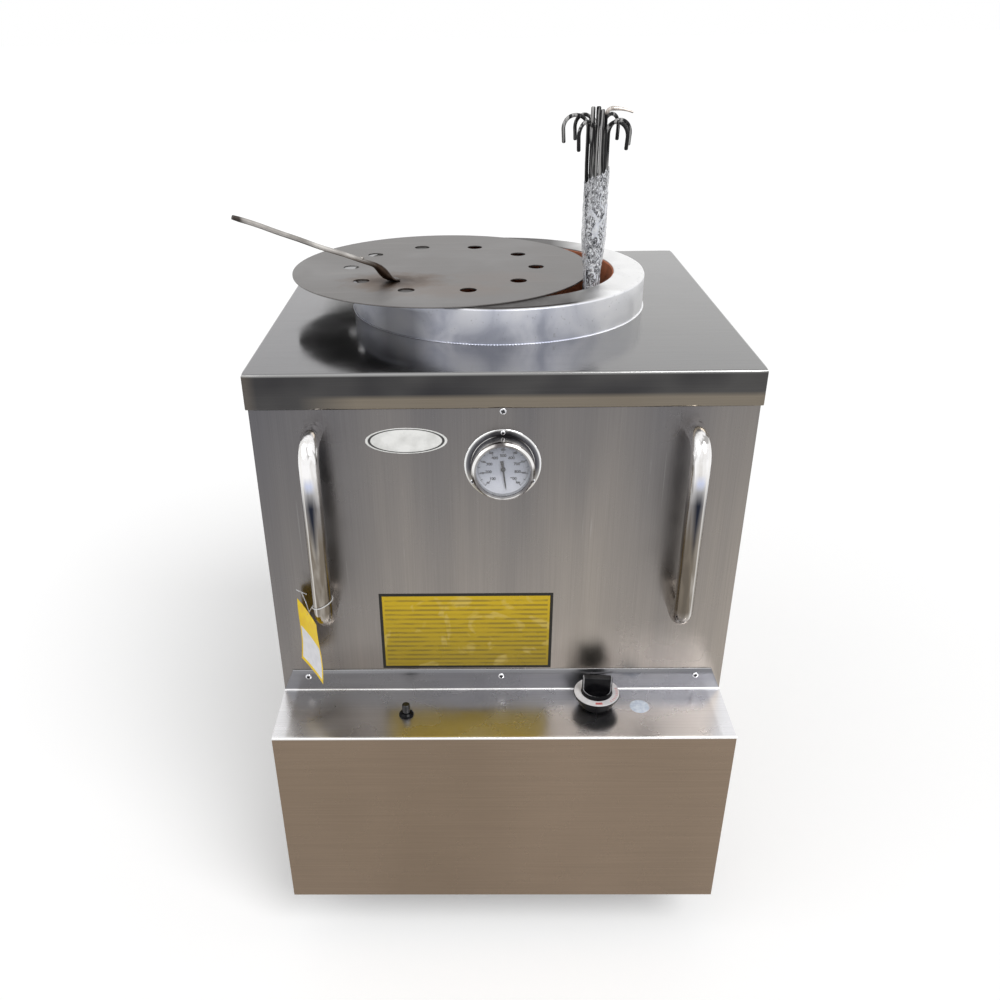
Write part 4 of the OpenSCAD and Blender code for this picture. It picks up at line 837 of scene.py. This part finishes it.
def box_tone_and_painted_light(made):
    """A warm even front, a brighter top that grows lighter to the right as a painted reflection, with ground
    bands at its ends, and painted highlights along the bends and the flange's top edge.
    """
    across, depth, height = (coordinate(made, axis) for axis in "XYZ")
    front = speckle(made, (3.0, 3.0, 1.2)).shades((0.35, (0.205, 0.155, 0.112)), (0.7, (0.25, 0.19, 0.14)))
    bands = speckle(made, (2.4, 14.0, 6.0), shift=(0.7, 0, 0))
    # Painted reflection: the top grows lighter to the right.
    top = (bands * 0.6 + across.spread(box_low.x, box_high.x, 0, 0.6)).shades(
        (0.25, (0.58, 0.56, 0.545)), (0.85, (0.70, 0.69, 0.71)))
    ground = abs(across - middle.x).spread(box_half - 0.024, box_half - 0.018, 0, 0.7)
    top = mixed(ground, top, (0.9, 0.9, 0.92))
    flange = speckle(made, (5.0, 5.0, 20.0)).shades((0.35, (0.185, 0.187, 0.205)), (0.7, (0.24, 0.24, 0.25)))
    # Painted highlights along the front bend, the inner fold and the flange's top edge.
    nose = (height.spread(box_top - 0.0034, box_top - 0.002)
            * depth.spread(box_low.y + 0.006, box_low.y + 0.003, 0, 0.8))
    fold = (height.spread(box_top + 0.0016, box_top + 0.0004)
            * depth.spread(flange_y - 0.0026, flange_y - 0.0014, 0, 0.9))
    rim = height.spread(box_high.z - 0.0014, box_high.z - 0.0008, 0, 0.2)
    return layers(front, (height.spread(box_top - 0.0030, box_top - 0.0012), top),
                  (height.spread(box_top + 0.001, box_top + 0.003), flange),
                  (maths("MAXIMUM", maths("MAXIMUM", nose, fold), rim), (0.95, 0.95, 0.95)))


box_steel = sheet_steel("box_steel", box_tone_and_painted_light, "X", (0.22, 0.34), 0.0, 0.05)
if box_mesh.polygons[0].normal.y > 0:
    box_mesh.flip_normals()
box = piece("bent_cover", thickened(box_mesh, sheet), "cabinet", box_steel, 50)
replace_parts(box, "control_cover")
dress(box_steel, "cover_ends")


# The sticker beside the knob: a round blank paper label, pale blue grey with a fine fibre. It is
# pressed on the box top, and its edge is a little worn down.
sticker_at = Vector((middle.x + 0.216, middle.y - 0.397, box_top))
sticker_line = ((0.0152, 0.00001), (0.0152, 0.0002), (0.0148, 0.0003), (0.008, 0.00032), (0.002, 0.00032))
sticker_paper = mottled("sticker_paper", (0.62, 0.68, 0.76), 0.45, (160.0, 4.0),
                        ((0.35, (0.50, 0.56, 0.66)), (0.65, (0.70, 0.75, 0.82))), bump=(0.2, 0.0003))
piece("round_sticker", skin_over([circle(w, z, 40, sticker_at) for w, z in sticker_line], caps=True),
      "cabinet", sticker_paper)


# The gas knob: one black moulding with a flared skirt, a hub and a bar grip, on the valve's stem.
# A pale printed ring lies on the skirt, with plain marks and a red arc.
def turned(line, base, count=48):
    """A closed turned shape about an upright axis."""
    return skin_over([circle(w, z, count, base) for w, z in line], joined=True)


knob_low, knob_high, knob_mid = extent("knob")
knob_base = Vector((knob_mid.x, knob_mid.y, 0))
skirt_top = 0.472
hub_r = 0.0216
black_plastic = finish("black_plastic", (0.006, 0.006, 0.007), 0.0, 0.3, Specular_IOR_Level=0.10)
plastic_dust_and_glint = speckle(black_plastic, 30.0, 4.0)
plastic_black = plastic_dust_and_glint.shades((0.45, (0.003, 0.003, 0.004)), (0.8, (0.014, 0.013, 0.014)))
plastic_z = coordinate(black_plastic, "Z")
# Painted highlights: a pale line on the hub's rim and a faint one on the grip's top edge, broken up by the
# cloudy noise, which also gives the black its random tone.
hub_rim_highlight = (plastic_z.spread(skirt_top + 0.0065, skirt_top + 0.0073, 0, 0.5)
           * abs(away_from(black_plastic, knob_mid, (1, 1, 0)) - hub_r).spread(0.0010, 0.0003))
grip_edge_highlight = plastic_z.spread(knob_high.z - 0.0016, knob_high.z - 0.0006, 0, 0.03)
painted_highlights = maths("MAXIMUM", hub_rim_highlight, grip_edge_highlight) * plastic_dust_and_glint.spread(0.40, 0.55)
paint(black_plastic, Base_Color=mixed(painted_highlights, plastic_black, (0.75, 0.75, 0.78)),
      Roughness=plastic_dust_and_glint.spread(0.35, 0.7, 0.1, 0.3))
raise_by(black_plastic, speckle(black_plastic, 380.0, 3.0), 0.12, 0.0003)
knob_line = [(w, knob_low.z + up) for w, up in (
    (0.0042, 0), (0.0252, 0), (0.0260, 0.0008), (0.0280, 0.005), (0.0330, 0.0148), (0.0354, 0.0200),
    (0.0360, 0.0212))]
knob_line += [(w, skirt_top + up) for w, up in (
    (0.0357, -0.0002), (0.0352, 0), (0.0240, 0), (0.0236, 0.0014), (0.0236, 0.0062), (0.0228, 0.0074),
    (0.0214, 0.0078), (0.0200, 0.0070), (0.0184, 0.0046), (0.0165, 0.0040), (0.0042, 0.0052))]
grip_half, grip_r, grip_turn = 0.0180, 0.0055, Matrix.Rotation(radians(-4), 3, "Z")
grip_rings = []
for share, z in ((1.0, skirt_top + 0.0030), (1.0, skirt_top + 0.0060), (0.98, skirt_top + 0.0200),
                 (0.95, skirt_top + 0.0285), (0.90, knob_high.z - 0.0006), (0.80, knob_high.z)):
    ring = circle(grip_r * share, z, 32)
    for point in ring:
        point.x += grip_half if point.x > 0 else -grip_half
    grip_rings.append([knob_base + grip_turn @ point for point in ring])
knob_piece = piece("gas_knob", together([turned(knob_line, knob_base, 72), skin_over(grip_rings, caps=True)]),
                   "knob", black_plastic, 38)
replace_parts(knob_piece, "knob")

dress(mottled("scale_print", (0.72, 0.71, 0.72), 0.35, (60.0, 4.0),
              ((0.3, (0.60, 0.59, 0.61)), (0.7, (0.80, 0.79, 0.80))), (0.3, 0.7, 0.28, 0.45), metal=0.1),
      "knob_scale_ring")
scale_red = mottled("scale_red", (0.55, 0.09, 0.08), 0.4, (400.0,),
                    ((0.3, (0.44, 0.10, 0.10)), (0.7, (0.62, 0.16, 0.15))))
scale_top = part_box("knob_scale_ring")[1].z
mark_tree = ring_tree("knob_marks", "GeometryNodeMeshCube")
mark_mesh = together([
    grown(mark_tree, Count=count, Radius=radius, Start=start, Step=apart, Length=length, Width=width,
          Height=0.0001, Material=scale_red)
    for count, radius, start, apart, length, width in (
        (16, 0.0300, -pi / 2 - 0.16, 0.022, 0.0046, 0.0006), (9, 0.0312, -0.9, 0.14, 0.0040, 0.0011))])
mark_mesh.transform(Matrix.Translation((knob_mid.x, knob_mid.y, scale_top + 0.00004)))
piece("knob_marks", mark_mesh, "knob", scale_red)


# The igniter: a spark unit under the box top. Its threaded neck takes a black nut above, and the
# push button stands in it.
dress(black_plastic, "igniter_body")
nut_low, nut_high, nut_mid = extent("igniter_nut")
igniter_base = Vector((nut_mid.x, nut_mid.y, 0))
nut_r = (nut_high.x - nut_low.x) / 2
nut_line = [(0.0080, nut_low.z), (nut_r, nut_low.z), (nut_r, nut_low.z + 0.0022),
            (nut_r - 0.0008, nut_low.z + 0.0036), (nut_r - 0.0022, nut_high.z - 0.0012),
            (nut_r - 0.0032, nut_high.z - 0.0003), (0.0080, nut_high.z)]
igniter_nut = piece("igniter_ring_nut", turned(nut_line, igniter_base), "cabinet",
                    black_plastic, 40)
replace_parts(igniter_nut, "igniter_nut")
button_low, button_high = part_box("igniter_button")
button_line = [(0.0001, button_low.z), (0.0062, button_low.z)]
button_line += [(w, button_high.z - down) for w, down in (
    (0.0062, 0.0022), (0.0058, 0.0008), (0.0048, 0.0001), (0.0030, 0.0004), (0.0001, 0.0008))]
black_button = mottled("black_button", (0.008, 0.008, 0.009), 0.14, (60.0, 4.0),
                       polish=(0.35, 0.7, 0.08, 0.3))
igniter_button = piece("igniter_push_button", turned(button_line, igniter_base), "igniter_push",
                       black_button, 30)
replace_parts(igniter_button, "igniter_button")


# The badge and the label: an oval white plate with a dark line near its edge, and a yellow film
# label with a dark border and plain rules. Neither has words, and the label is scuffed and creased.
_, badge_high, badge_mid = extent("blank_badge")
badge_half = badge_high - badge_mid
badge_white = finish("badge_white", (0.80, 0.80, 0.78), 0.0, 0.35)
badge_out = away_from(badge_white, badge_mid, (badge_half.x, 0, badge_half.z))
badge_line = badge_out.spread(0.865, 0.88) * badge_out.spread(0.945, 0.93)
badge_rub = speckle(badge_white, 46.0, 5.0).shades((0.35, (0.66, 0.66, 0.64)), (0.6, (0.84, 0.84, 0.82)))
paint(badge_white, Base_Color=mixed(badge_line, badge_rub, (0.03, 0.03, 0.03)),
      Roughness=speckle(badge_white, 30.0, 4.0).spread(0.3, 0.7, 0.25, 0.45))
dress(badge_white, "blank_badge")

label_low, label_high, label_mid = extent("blank_label")
label_half = label_high - label_mid
rules_per_metre = 118.0
label_yellow = finish("label_yellow", (0.5, 0.34, 0.03), 0.0, 0.4, Specular_IOR_Level=0.25)
label_x = coordinate(label_yellow, "X") - label_mid.x
label_z = coordinate(label_yellow, "Z")
label_up = label_z - label_mid.z
from_edge = maths("MINIMUM", label_half.x - abs(label_x), label_half.z - abs(label_up))
label_crease = speckle(label_yellow, 16.0, 6.0, warp=1.6)
label_rub = speckle(label_yellow, (30.0, 30.0, 90.0), 5.0, shift=(2, 0, 5))
ruled = (maths("FRACT", label_up * rules_per_metre).spread(0.52, 0.60, 0, 0.55)
         * from_edge.spread(0.0075, 0.0085))
# Painted shade: the yellow darkens from the top of the label towards its bottom.
label_shade = layers(
    label_z.spread(label_high.z, label_low.z).shades(
        (0.1, (0.56, 0.38, 0.012)), (0.6, (0.41, 0.285, 0.012)), (1.0, (0.29, 0.205, 0.015))),
    (label_crease.spread(0.58, 0.66, 0, 0.30), (0.70, 0.56, 0.22)),
    (ruled * label_rub.spread(0.36, 0.55, 0.25, 1), (0.10, 0.075, 0.02)),
    (from_edge.spread(0.0050, 0.0042), (0.014, 0.013, 0.010)))
paint(label_yellow, Base_Color=label_shade, Roughness=label_crease.spread(0.35, 0.7, 0.25, 0.5))
raise_by(label_yellow, label_crease, 0.5, 0.0012)
dress(label_yellow, "blank_label")


# The lid: a loose steel disc with ten vents, and a rod for a handle. The rod's end is hammered
# flat and welded on, and heat has stained the steel brown round it.
_, plate_high, lid_mid = extent("lid_plate")
lid_top = plate_high.z
rod_foot = Vector((lid_mid.x - 0.072, lid_mid.y - 0.090, lid_top))
lid_steel = finish("lid_steel", (0.28, 0.26, 0.25), 1.0, 0.42)
lid_cloud = speckle(lid_steel, 9.0, 6.0, warp=0.5)
lid_rub = speckle(lid_steel, (6.0, 40.0, 6.0), 4.0, turn=(0, 0, 0.5))


def near(made, point, reach):
    """1 at a point, falling to 0 at the given reach from it in plan, with a ragged edge."""
    ragged = away_from(made, point, (*reach, 0)) + (speckle(made, 45.0, 5.0) - 0.5) * 0.9
    return ragged.spread(0.35, 1.0, 1, 0)


lid_shade = lid_cloud.shades((0.32, (0.160, 0.150, 0.144)), (0.52, (0.212, 0.203, 0.199)),
                             (0.72, (0.265, 0.258, 0.255)))
for start, spot, reach, amount, brown in (
        (rod_foot, (0.004, -0.002), (0.095, 0.062), 0.85, (0.120, 0.075, 0.045)),
        (rod_foot, (0.002, -0.004), (0.056, 0.042), 1.0, (0.040, 0.022, 0.012)),
        (rod_foot, (-0.030, -0.035), (0.04, 0.035), 0.5, (0.16, 0.12, 0.09)),
        (lid_mid, (0.02, -0.15), (0.13, 0.05), 0.35, (0.23, 0.175, 0.14)),
        (lid_mid, (0.10, -0.08), (0.10, 0.05), 0.25, (0.23, 0.18, 0.155))):
    lid_shade = mixed(near(lid_steel, start + Vector((*spot, 0)), reach) * amount, lid_shade, brown)
# The lid's underside and the lower part of its edge are painted near black as shade.
lid_underside_painted_shade = coordinate(lid_steel, "Z").spread(lid_top - 0.0014, lid_top - 0.0018)
paint(lid_steel, Roughness=lid_cloud.spread(0.3, 0.7, 0.36, 0.52),
      Base_Color=layers(lid_shade, (lid_rub.spread(0.6, 0.75, 0, 0.3), (0.31, 0.295, 0.28)),
                        (lid_underside_painted_shade, (0.025, 0.022, 0.020))))
raise_by(lid_steel, lid_cloud + lid_rub, 0.25, 0.0012)
dress(lid_steel, "lid_plate")


def swept(points, sizes, side, count=14):
    """A bar along points in one plane: sizes are half widths across and in the plane, side is across."""
    rings = []
    for i, (point, (across, deep)) in enumerate(zip(points, sizes)):
        ahead = (points[min(i + 1, len(points) - 1)] - points[max(i - 1, 0)]).normalized()
        up = side.cross(ahead).normalized()
        rings.append([point + side * across * cos(a) + up * deep * sin(a)
                      for a in (2 * pi * k / count for k in range(count))])
    return skin_over(rings, caps=True)


rod_turn = radians(212)
rod_way = Vector((cos(rod_turn), sin(rod_turn), 0))
rod_side = Vector((-sin(rod_turn), cos(rod_turn), 0))
rod_rise = 0.109 / 0.246
rod_r, rod_start, rod_end, rod_steps = 0.0038, 0.036, 0.2450, 22
rod_points, rod_sizes = [], []
for out, up, across, deep in (
        (-0.0090, 0.0014, 0.0070, 0.0012), (-0.0075, 0.0018, 0.0095, 0.0016), (0.000, 0.0024, 0.0112, 0.0022),
        (0.006, 0.0050, 0.0118, 0.0044), (0.012, 0.0102, 0.0115, 0.0066), (0.018, 0.0168, 0.0100, 0.0070),
        (0.024, 0.0232, 0.0074, 0.0058), (0.030, 0.0279, 0.0048, 0.0043)):
    rod_points.append(rod_foot + rod_way * out + Vector((0, 0, up)))
    rod_sizes.append((across, deep))
for i in range(rod_steps + 1):
    out = rod_start + (rod_end - rod_start) * i / rod_steps
    sway = 0.0005 * sin(out * 38) + 0.0003 * sin(out * 95)
    rod_points.append(rod_foot + rod_way * out + Vector((0, 0, 0.0280 + (out - 0.030) * rod_rise + sway)))
    rod_sizes.append((rod_r if i < rod_steps else 0.0032,) * 2)
nub_at = rod_foot + rod_way * 0.052 + Vector((0, 0, 0.0280 + 0.022 * rod_rise + 0.0036))
nub_mesh = solid(bmesh.ops.create_icosphere, subdivisions=2, radius=0.0034,
                 matrix=Matrix.Translation(nub_at) @ Matrix.Diagonal((1.2, 1.0, 0.9, 1)))
rod_steel = finish("rod_steel", (0.5, 0.46, 0.42), 0.9, 0.4)
rod_cloud = speckle(rod_steel, 26.0, 5.0)
rod_shade = layers(
    rod_cloud.shades((0.3, (0.25, 0.235, 0.215)), (0.55, (0.42, 0.40, 0.38)), (0.7, (0.62, 0.60, 0.57))),
    (near(rod_steel, rod_foot + rod_way * 0.008, (0.060, 0.060)), (0.034, 0.022, 0.015)),
    (near(rod_steel, rod_foot + rod_way * 0.246, (0.020, 0.020)), (0.06, 0.05, 0.045)))
paint(rod_steel, Base_Color=rod_shade, Roughness=rod_cloud.spread(0.3, 0.7, 0.32, 0.5))
raise_by(rod_steel, rod_cloud, 0.3, 0.0008)
rod_mesh = together([swept(rod_points, rod_sizes, rod_side), nub_mesh])
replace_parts(piece("lid_rod", rod_mesh, "lid", rod_steel, 50), "lid_handle")


# The skewers: long forged iron rods with hooked, bladed and bent ends, stood in the pot as one
# bundle. The bent one is bright steel, and the rest are black.
wrap_low, wrap_high, wrap_mid = extent("skewer_wrap")
bundle_low, bundle_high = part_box("skewers")
bundle = Vector((wrap_mid.x, wrap_mid.y, 0))
iron_r = 0.00275
pitch = 0.0059
hook_z = bundle_high.z - 0.038
hook_bend = 0.018
# Each one's kind, its turn and ring in the bundle, and how far it leans over the film in X and Y
kinds = [("blade", 90, 0, (-0.0024, -0.0055)), ("point", 0, 1, (0, 0)), ("hook", 45, 1, (0, 0)),
         ("hook", 135, 1, (0, 0)), ("hook", 168, 1, (-0.0068, 0)), ("blade", 240, 1, (-0.0063, -0.0015)),
         ("blade", 300, 1, (-0.0016, -0.0030)), ("hook", 22, 2, (0, 0)), ("hook", 100, 2, (0, 0.002)),
         ("hook", 228, 2, (0.0020, 0.0040)), ("hook", 322, 2, (-0.0035, 0.0010))]
bright_one = 1


def eased(z, start, reach):
    """0 up to a height, easing over to 1 above it."""
    t = min(1.0, max(0.0, (z - start) / reach))
    return t * t * (3 - 2 * t)


def skewer(index):
    """One skewer's bar, by its place in the bundle."""
    kind, degrees, ring, lean_out = kinds[index]
    turn = radians(degrees)
    out = Vector((cos(turn), sin(turn), 0))
    side = Vector((-sin(turn), cos(turn), 0))
    path, sizes = [], []

    def at(z):
        spot = bundle + out * (0, pitch, pitch * sqrt(3))[ring] * (1 + 0.52 * eased(z, lid_top, 0.08))
        return spot + Vector((*lean_out, 0)) * eased(z, lid_top + 0.02, 0.16) + Vector((0, 0, z))

    def add(point, across, deep=None):
        path.append(point)
        sizes.append((iron_r * across, iron_r * (across if deep is None else deep)))

    add(at(bundle_low.z), 0.4)
    for z in (bundle_low.z + 0.3, bundle_low.z + 0.52):
        add(at(z), 1)
    for up in (-0.02, 0, 0.02, 0.04, 0.06, 0.08, 0.11, 0.14, 0.17):
        add(at(lid_top + up), 1)
    if kind == "blade":
        top = bundle_high.z - 0.0035 * ((index * 2) % 5) / 2
        for down, w, t in ((0.03, 1, 1), (0.022, 1.18, 0.7), (0.008, 1.25, 0.6), (0.0015, 1.20, 0.5),
                           (0, 0.85, 0.3)):
            add(at(top - down), w, t)
    elif kind == "point":
        start, bend = at(bundle_high.z - 0.0130), 0.0095
        for k in range(9):
            a = k / 8 * pi / 2 * 1.10
            add(start + out * bend * (1 - cos(a)) + Vector((0, 0, bend * sin(a))), 0.95 + 0.025 * k)
        last = path[-1]
        for k in range(1, 7):
            add(last + out * 0.0046 * k + Vector((0, 0, -0.00016 * k * k)), 1.15 - 0.12 * k)
    else:
        vary = noise.noise(Vector((index * 1.9, 4.4, 2.0)))
        start = at(hook_z + (0.008 if ring == 1 else 0.001) + 0.002 * vary)
        for a in (pi * k / 14 for k in range(15)):
            add(start + out * hook_bend * (1 - cos(a)) + Vector((0, 0, hook_bend * sin(a))), 1)
        drop = 0.020 * (1 - 0.25 * abs(vary))
        for share, w in ((0.5, 1), (0.92, 1), (1.0, 0.72)):
            add(start + out * (2 * hook_bend - 0.0014 * share) + Vector((0, 0, -drop * share)), w)
    return swept(path, sizes, side, 12)


def iron(name, dark, light, metal, rough, black_below=0.0):
    """Forged iron, scaled, with light streaks that are partly rubbed wear and partly painted highlights, and
    black below a height.
    """
    made = finish(name, dark, metal, rough[0])
    scale = speckle(made, (90.0, 90.0, 24.0), 5.0)
    rub_and_glint = speckle(made, (240.0, 240.0, 9.0), 3.0, shift=(5, 1, 2))
    paint(made, Roughness=scale.spread(0.3, 0.7, *rough), Base_Color=layers(
        scale.shades((0.35, dark), (0.7, tuple(c * 1.8 for c in dark))),
        # Light streaks: partly rubbed wear, partly painted highlights.
        (rub_and_glint.spread(0.52, 0.57, 0, 0.85), light),
        (coordinate(made, "Z").spread(black_below + 0.004, black_below), (0.010, 0.010, 0.011))))
    raise_by(made, scale, 0.4, 0.0006)
    return made


skewer_iron = iron("skewer_iron", (0.006, 0.006, 0.0065), (0.42, 0.415, 0.41), 0.6, (0.34, 0.55))
bright_iron = iron("bright_iron", (0.40, 0.36, 0.33), (0.72, 0.68, 0.64), 0.9, (0.3, 0.45),
                   bundle_high.z - 0.012)
skewer_piece = piece("forged_skewers", together([skewer(i) for i in range(len(kinds)) if i != bright_one]),
                     "skewer_bundle", skewer_iron, 50)
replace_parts(skewer_piece, "skewers")
piece("bright_skewer", skewer(bright_one), "skewer_bundle", bright_iron, 50)


# The film: thin clear plastic, wound tight round the skewers and torn off at a slant. It is
# creased all over and its creases catch the light; its whitish creases and streaks are painted
# in, partly as haze and partly as highlights.
film_r = (wrap_high.x - wrap_low.x) / 2 - 0.0006
film_rows, film_columns = 130, 112
film_fall = 0.019
film_rings = []
for row in range(film_rows + 1):
    ring = []
    for k in range(film_columns):
        a = 2 * pi * k / film_columns
        torn = (0.007 * noise.noise(Vector((cos(a) * 3, sin(a) * 3, 5)))
                + 0.004 * noise.noise(Vector((cos(a) * 11, sin(a) * 11, 2))))
        high = wrap_high.z - 0.003 - film_fall * (0.5 - 0.5 * cos(a)) - torn
        z = wrap_low.z + (high - wrap_low.z) * row / film_rows
        loose = eased(z, lid_top, 0.07)
        spot = Vector((cos(a) * 2.2, sin(a) * 2.2, z * 60))
        crease = abs(noise.noise(spot)) * 1.5 + abs(noise.noise(spot * 2.7)) * 0.8
        r = film_r + 0.0055 * loose + 0.0004 - min(0.0009, 0.0007 * crease) * (1 + 0.8 * loose)
        ring.append(bundle + Vector((r * cos(a), r * sin(a), z)))
    film_rings.append(ring)
clear_film = finish("clear_film", (0.9, 0.92, 0.97), 0.0, 0.12, IOR=1.48, Specular_IOR_Level=0.9)
film_fold = speckle(clear_film, (150.0, 150.0, 95.0), 6.0, rough=0.78, warp=2.4)
film_glint_streak = speckle(clear_film, (90.0, 90.0, 40.0), 3.0, turn=(0.6, 0.5, 0.0), warp=1.0)
# Opacity: cloudy creases that are partly real haze and partly painted highlights, and whitish streaks painted
# in as highlights.
film_haze_and_glint = maths("MAXIMUM", film_fold.spread(0.47, 0.55, 0.12, 0.95),
                  film_glint_streak.spread(0.55, 0.61, 0.0, 0.95))
paint(clear_film, Alpha=film_haze_and_glint, Roughness=film_fold.spread(0.3, 0.7, 0.08, 0.25),
      Base_Color=film_fold.shades((0.4, (0.70, 0.73, 0.82)), (0.60, (0.96, 0.97, 1.0))))
raise_by(clear_film, film_fold + film_glint_streak, 0.8, 0.003)
film = piece("wound_film", skin_over(film_rings), "skewer_bundle", clear_film, 60)
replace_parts(film, "skewer_wrap")


# The tag and its tie: a thin card with no words, yellow at its head and round its edge and white
# below. It hangs by its hole on a clear nylon tie looped round the left handle.
tag_turn, tag_lean = radians(-57.5), radians(7.5)
tag_flat = Vector((cos(tag_turn), sin(tag_turn), 0))
tag_way = tag_flat * cos(tag_lean) - Vector((0, 0, sin(tag_lean)))
tag_up = tag_flat * sin(tag_lean) + Vector((0, 0, cos(tag_lean)))
tag_out = Vector((sin(tag_turn), -cos(tag_turn), 0))
tag_hole = middle + Vector((-0.2905, -0.3965, 0.621))
tag_w, tag_h, hole_down = 0.068, 0.123, 0.009
card_columns, card_rows = 16, 30
card_points, card_uv = [], []
for v in (row / card_rows for row in range(card_rows + 1)):
    card_points.append([])
    for u in (column / card_columns for column in range(card_columns + 1)):
        curl = 0.0015 * (2 * u - 1) ** 2 - 0.0018 * sin(v * 5.0) - 0.0050 * (1 - v) * u
        card_points[-1].append(tag_hole + tag_way * (u - 0.5) * tag_w
                               + tag_up * (hole_down - tag_h + v * tag_h) + tag_out * (curl - 0.0015))
        card_uv.append((u, v))
tag_mesh = grid("card", card_points)
uv = tag_mesh.uv_layers.new(name="card")
for loop in tag_mesh.loops:
    uv.data[loop.index].uv = card_uv[loop.vertex_index]
tag_card = finish("tag_card", (0.8, 0.8, 0.78), 0.0, 0.5, Specular_IOR_Level=0.3)
card_uv_map = node(tag_card.node_tree, "UVMap", {"uv_map": "card"})
tag_u, tag_v = (node(tag_card.node_tree, "SeparateXYZ", out=axis, Vector=card_uv_map) for axis in "XY")
tag_fibre = speckle(tag_card, 90.0, 5.0)
tag_edge = maths("MAXIMUM", abs(tag_u - 0.5).spread(0.45, 0.455), tag_v.spread(0.055, 0.050))
tag_yellow = maths("MAXIMUM", tag_v.spread(0.575, 0.580), tag_edge)
tag_white = tag_fibre.shades((0.3, (0.80, 0.80, 0.84)), (0.7, (0.92, 0.92, 0.95)))
tag_gold = tag_fibre.shades((0.3, (0.94, 0.60, 0.005)), (0.7, (1.0, 0.74, 0.02)))
paint(tag_card, Base_Color=mixed(tag_yellow, tag_white, tag_gold),
      Roughness=tag_fibre.spread(0.3, 0.7, 0.38, 0.6))
raise_by(tag_card, tag_fibre, 0.15, 0.0003)
tag = piece("blank_tag", thickened(tag_mesh, 0.0005), "tag", tag_card, 60)
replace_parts(tag, "hang_tag")

tie_nylon = mottled("tie_nylon", (0.85, 0.86, 0.88), 0.25, (200.0, 3.0), polish=(0.3, 0.7, 0.18, 0.4),
                    bump=(0.2, 0.0003), IOR=1.5, Alpha=0.45)
tie_r = 0.0008
grip_at = Vector((handle_mid.x, handle_low.y + handle_r, tag_hole.z + 0.031))
tie_hole = tag_hole + Vector((0, 0, 0.0029))
loop_tilt = radians(24)
loop_up = Vector((-sin(loop_tilt), 0, cos(loop_tilt)))
loop_reach = handle_r + 0.0013
loop_points = [grip_at + loop_reach * Vector((cos(a), sin(a), cos(a) * tan(loop_tilt)))
               for a in (2 * pi * k / 40 for k in range(41))]
strand = [loop_points[17], tie_hole, tie_hole - tag_out * 0.003,
          tie_hole - tag_out * 0.004 - tag_way * 0.012 + tag_up * 0.010,
          tie_hole - tag_out * 0.003 - tag_way * 0.027 + tag_up * 0.022]
strand_side = (tie_hole - strand[0]).cross(Vector((0, 0, 1))).normalized()
bar_half = Vector((0.0075, 0, -0.0042))
bar = [strand[-1] - bar_half, strand[-1] + bar_half]
tie_mesh = together([swept(points, [(tie_r, tie_r)] * len(points), side, 10) for points, side in (
    (loop_points, loop_up), (strand, strand_side), (bar, Vector((0, 1, 0))))])
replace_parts(piece("nylon_tie", tie_mesh, "cabinet", tie_nylon, 60), "tag_tie")
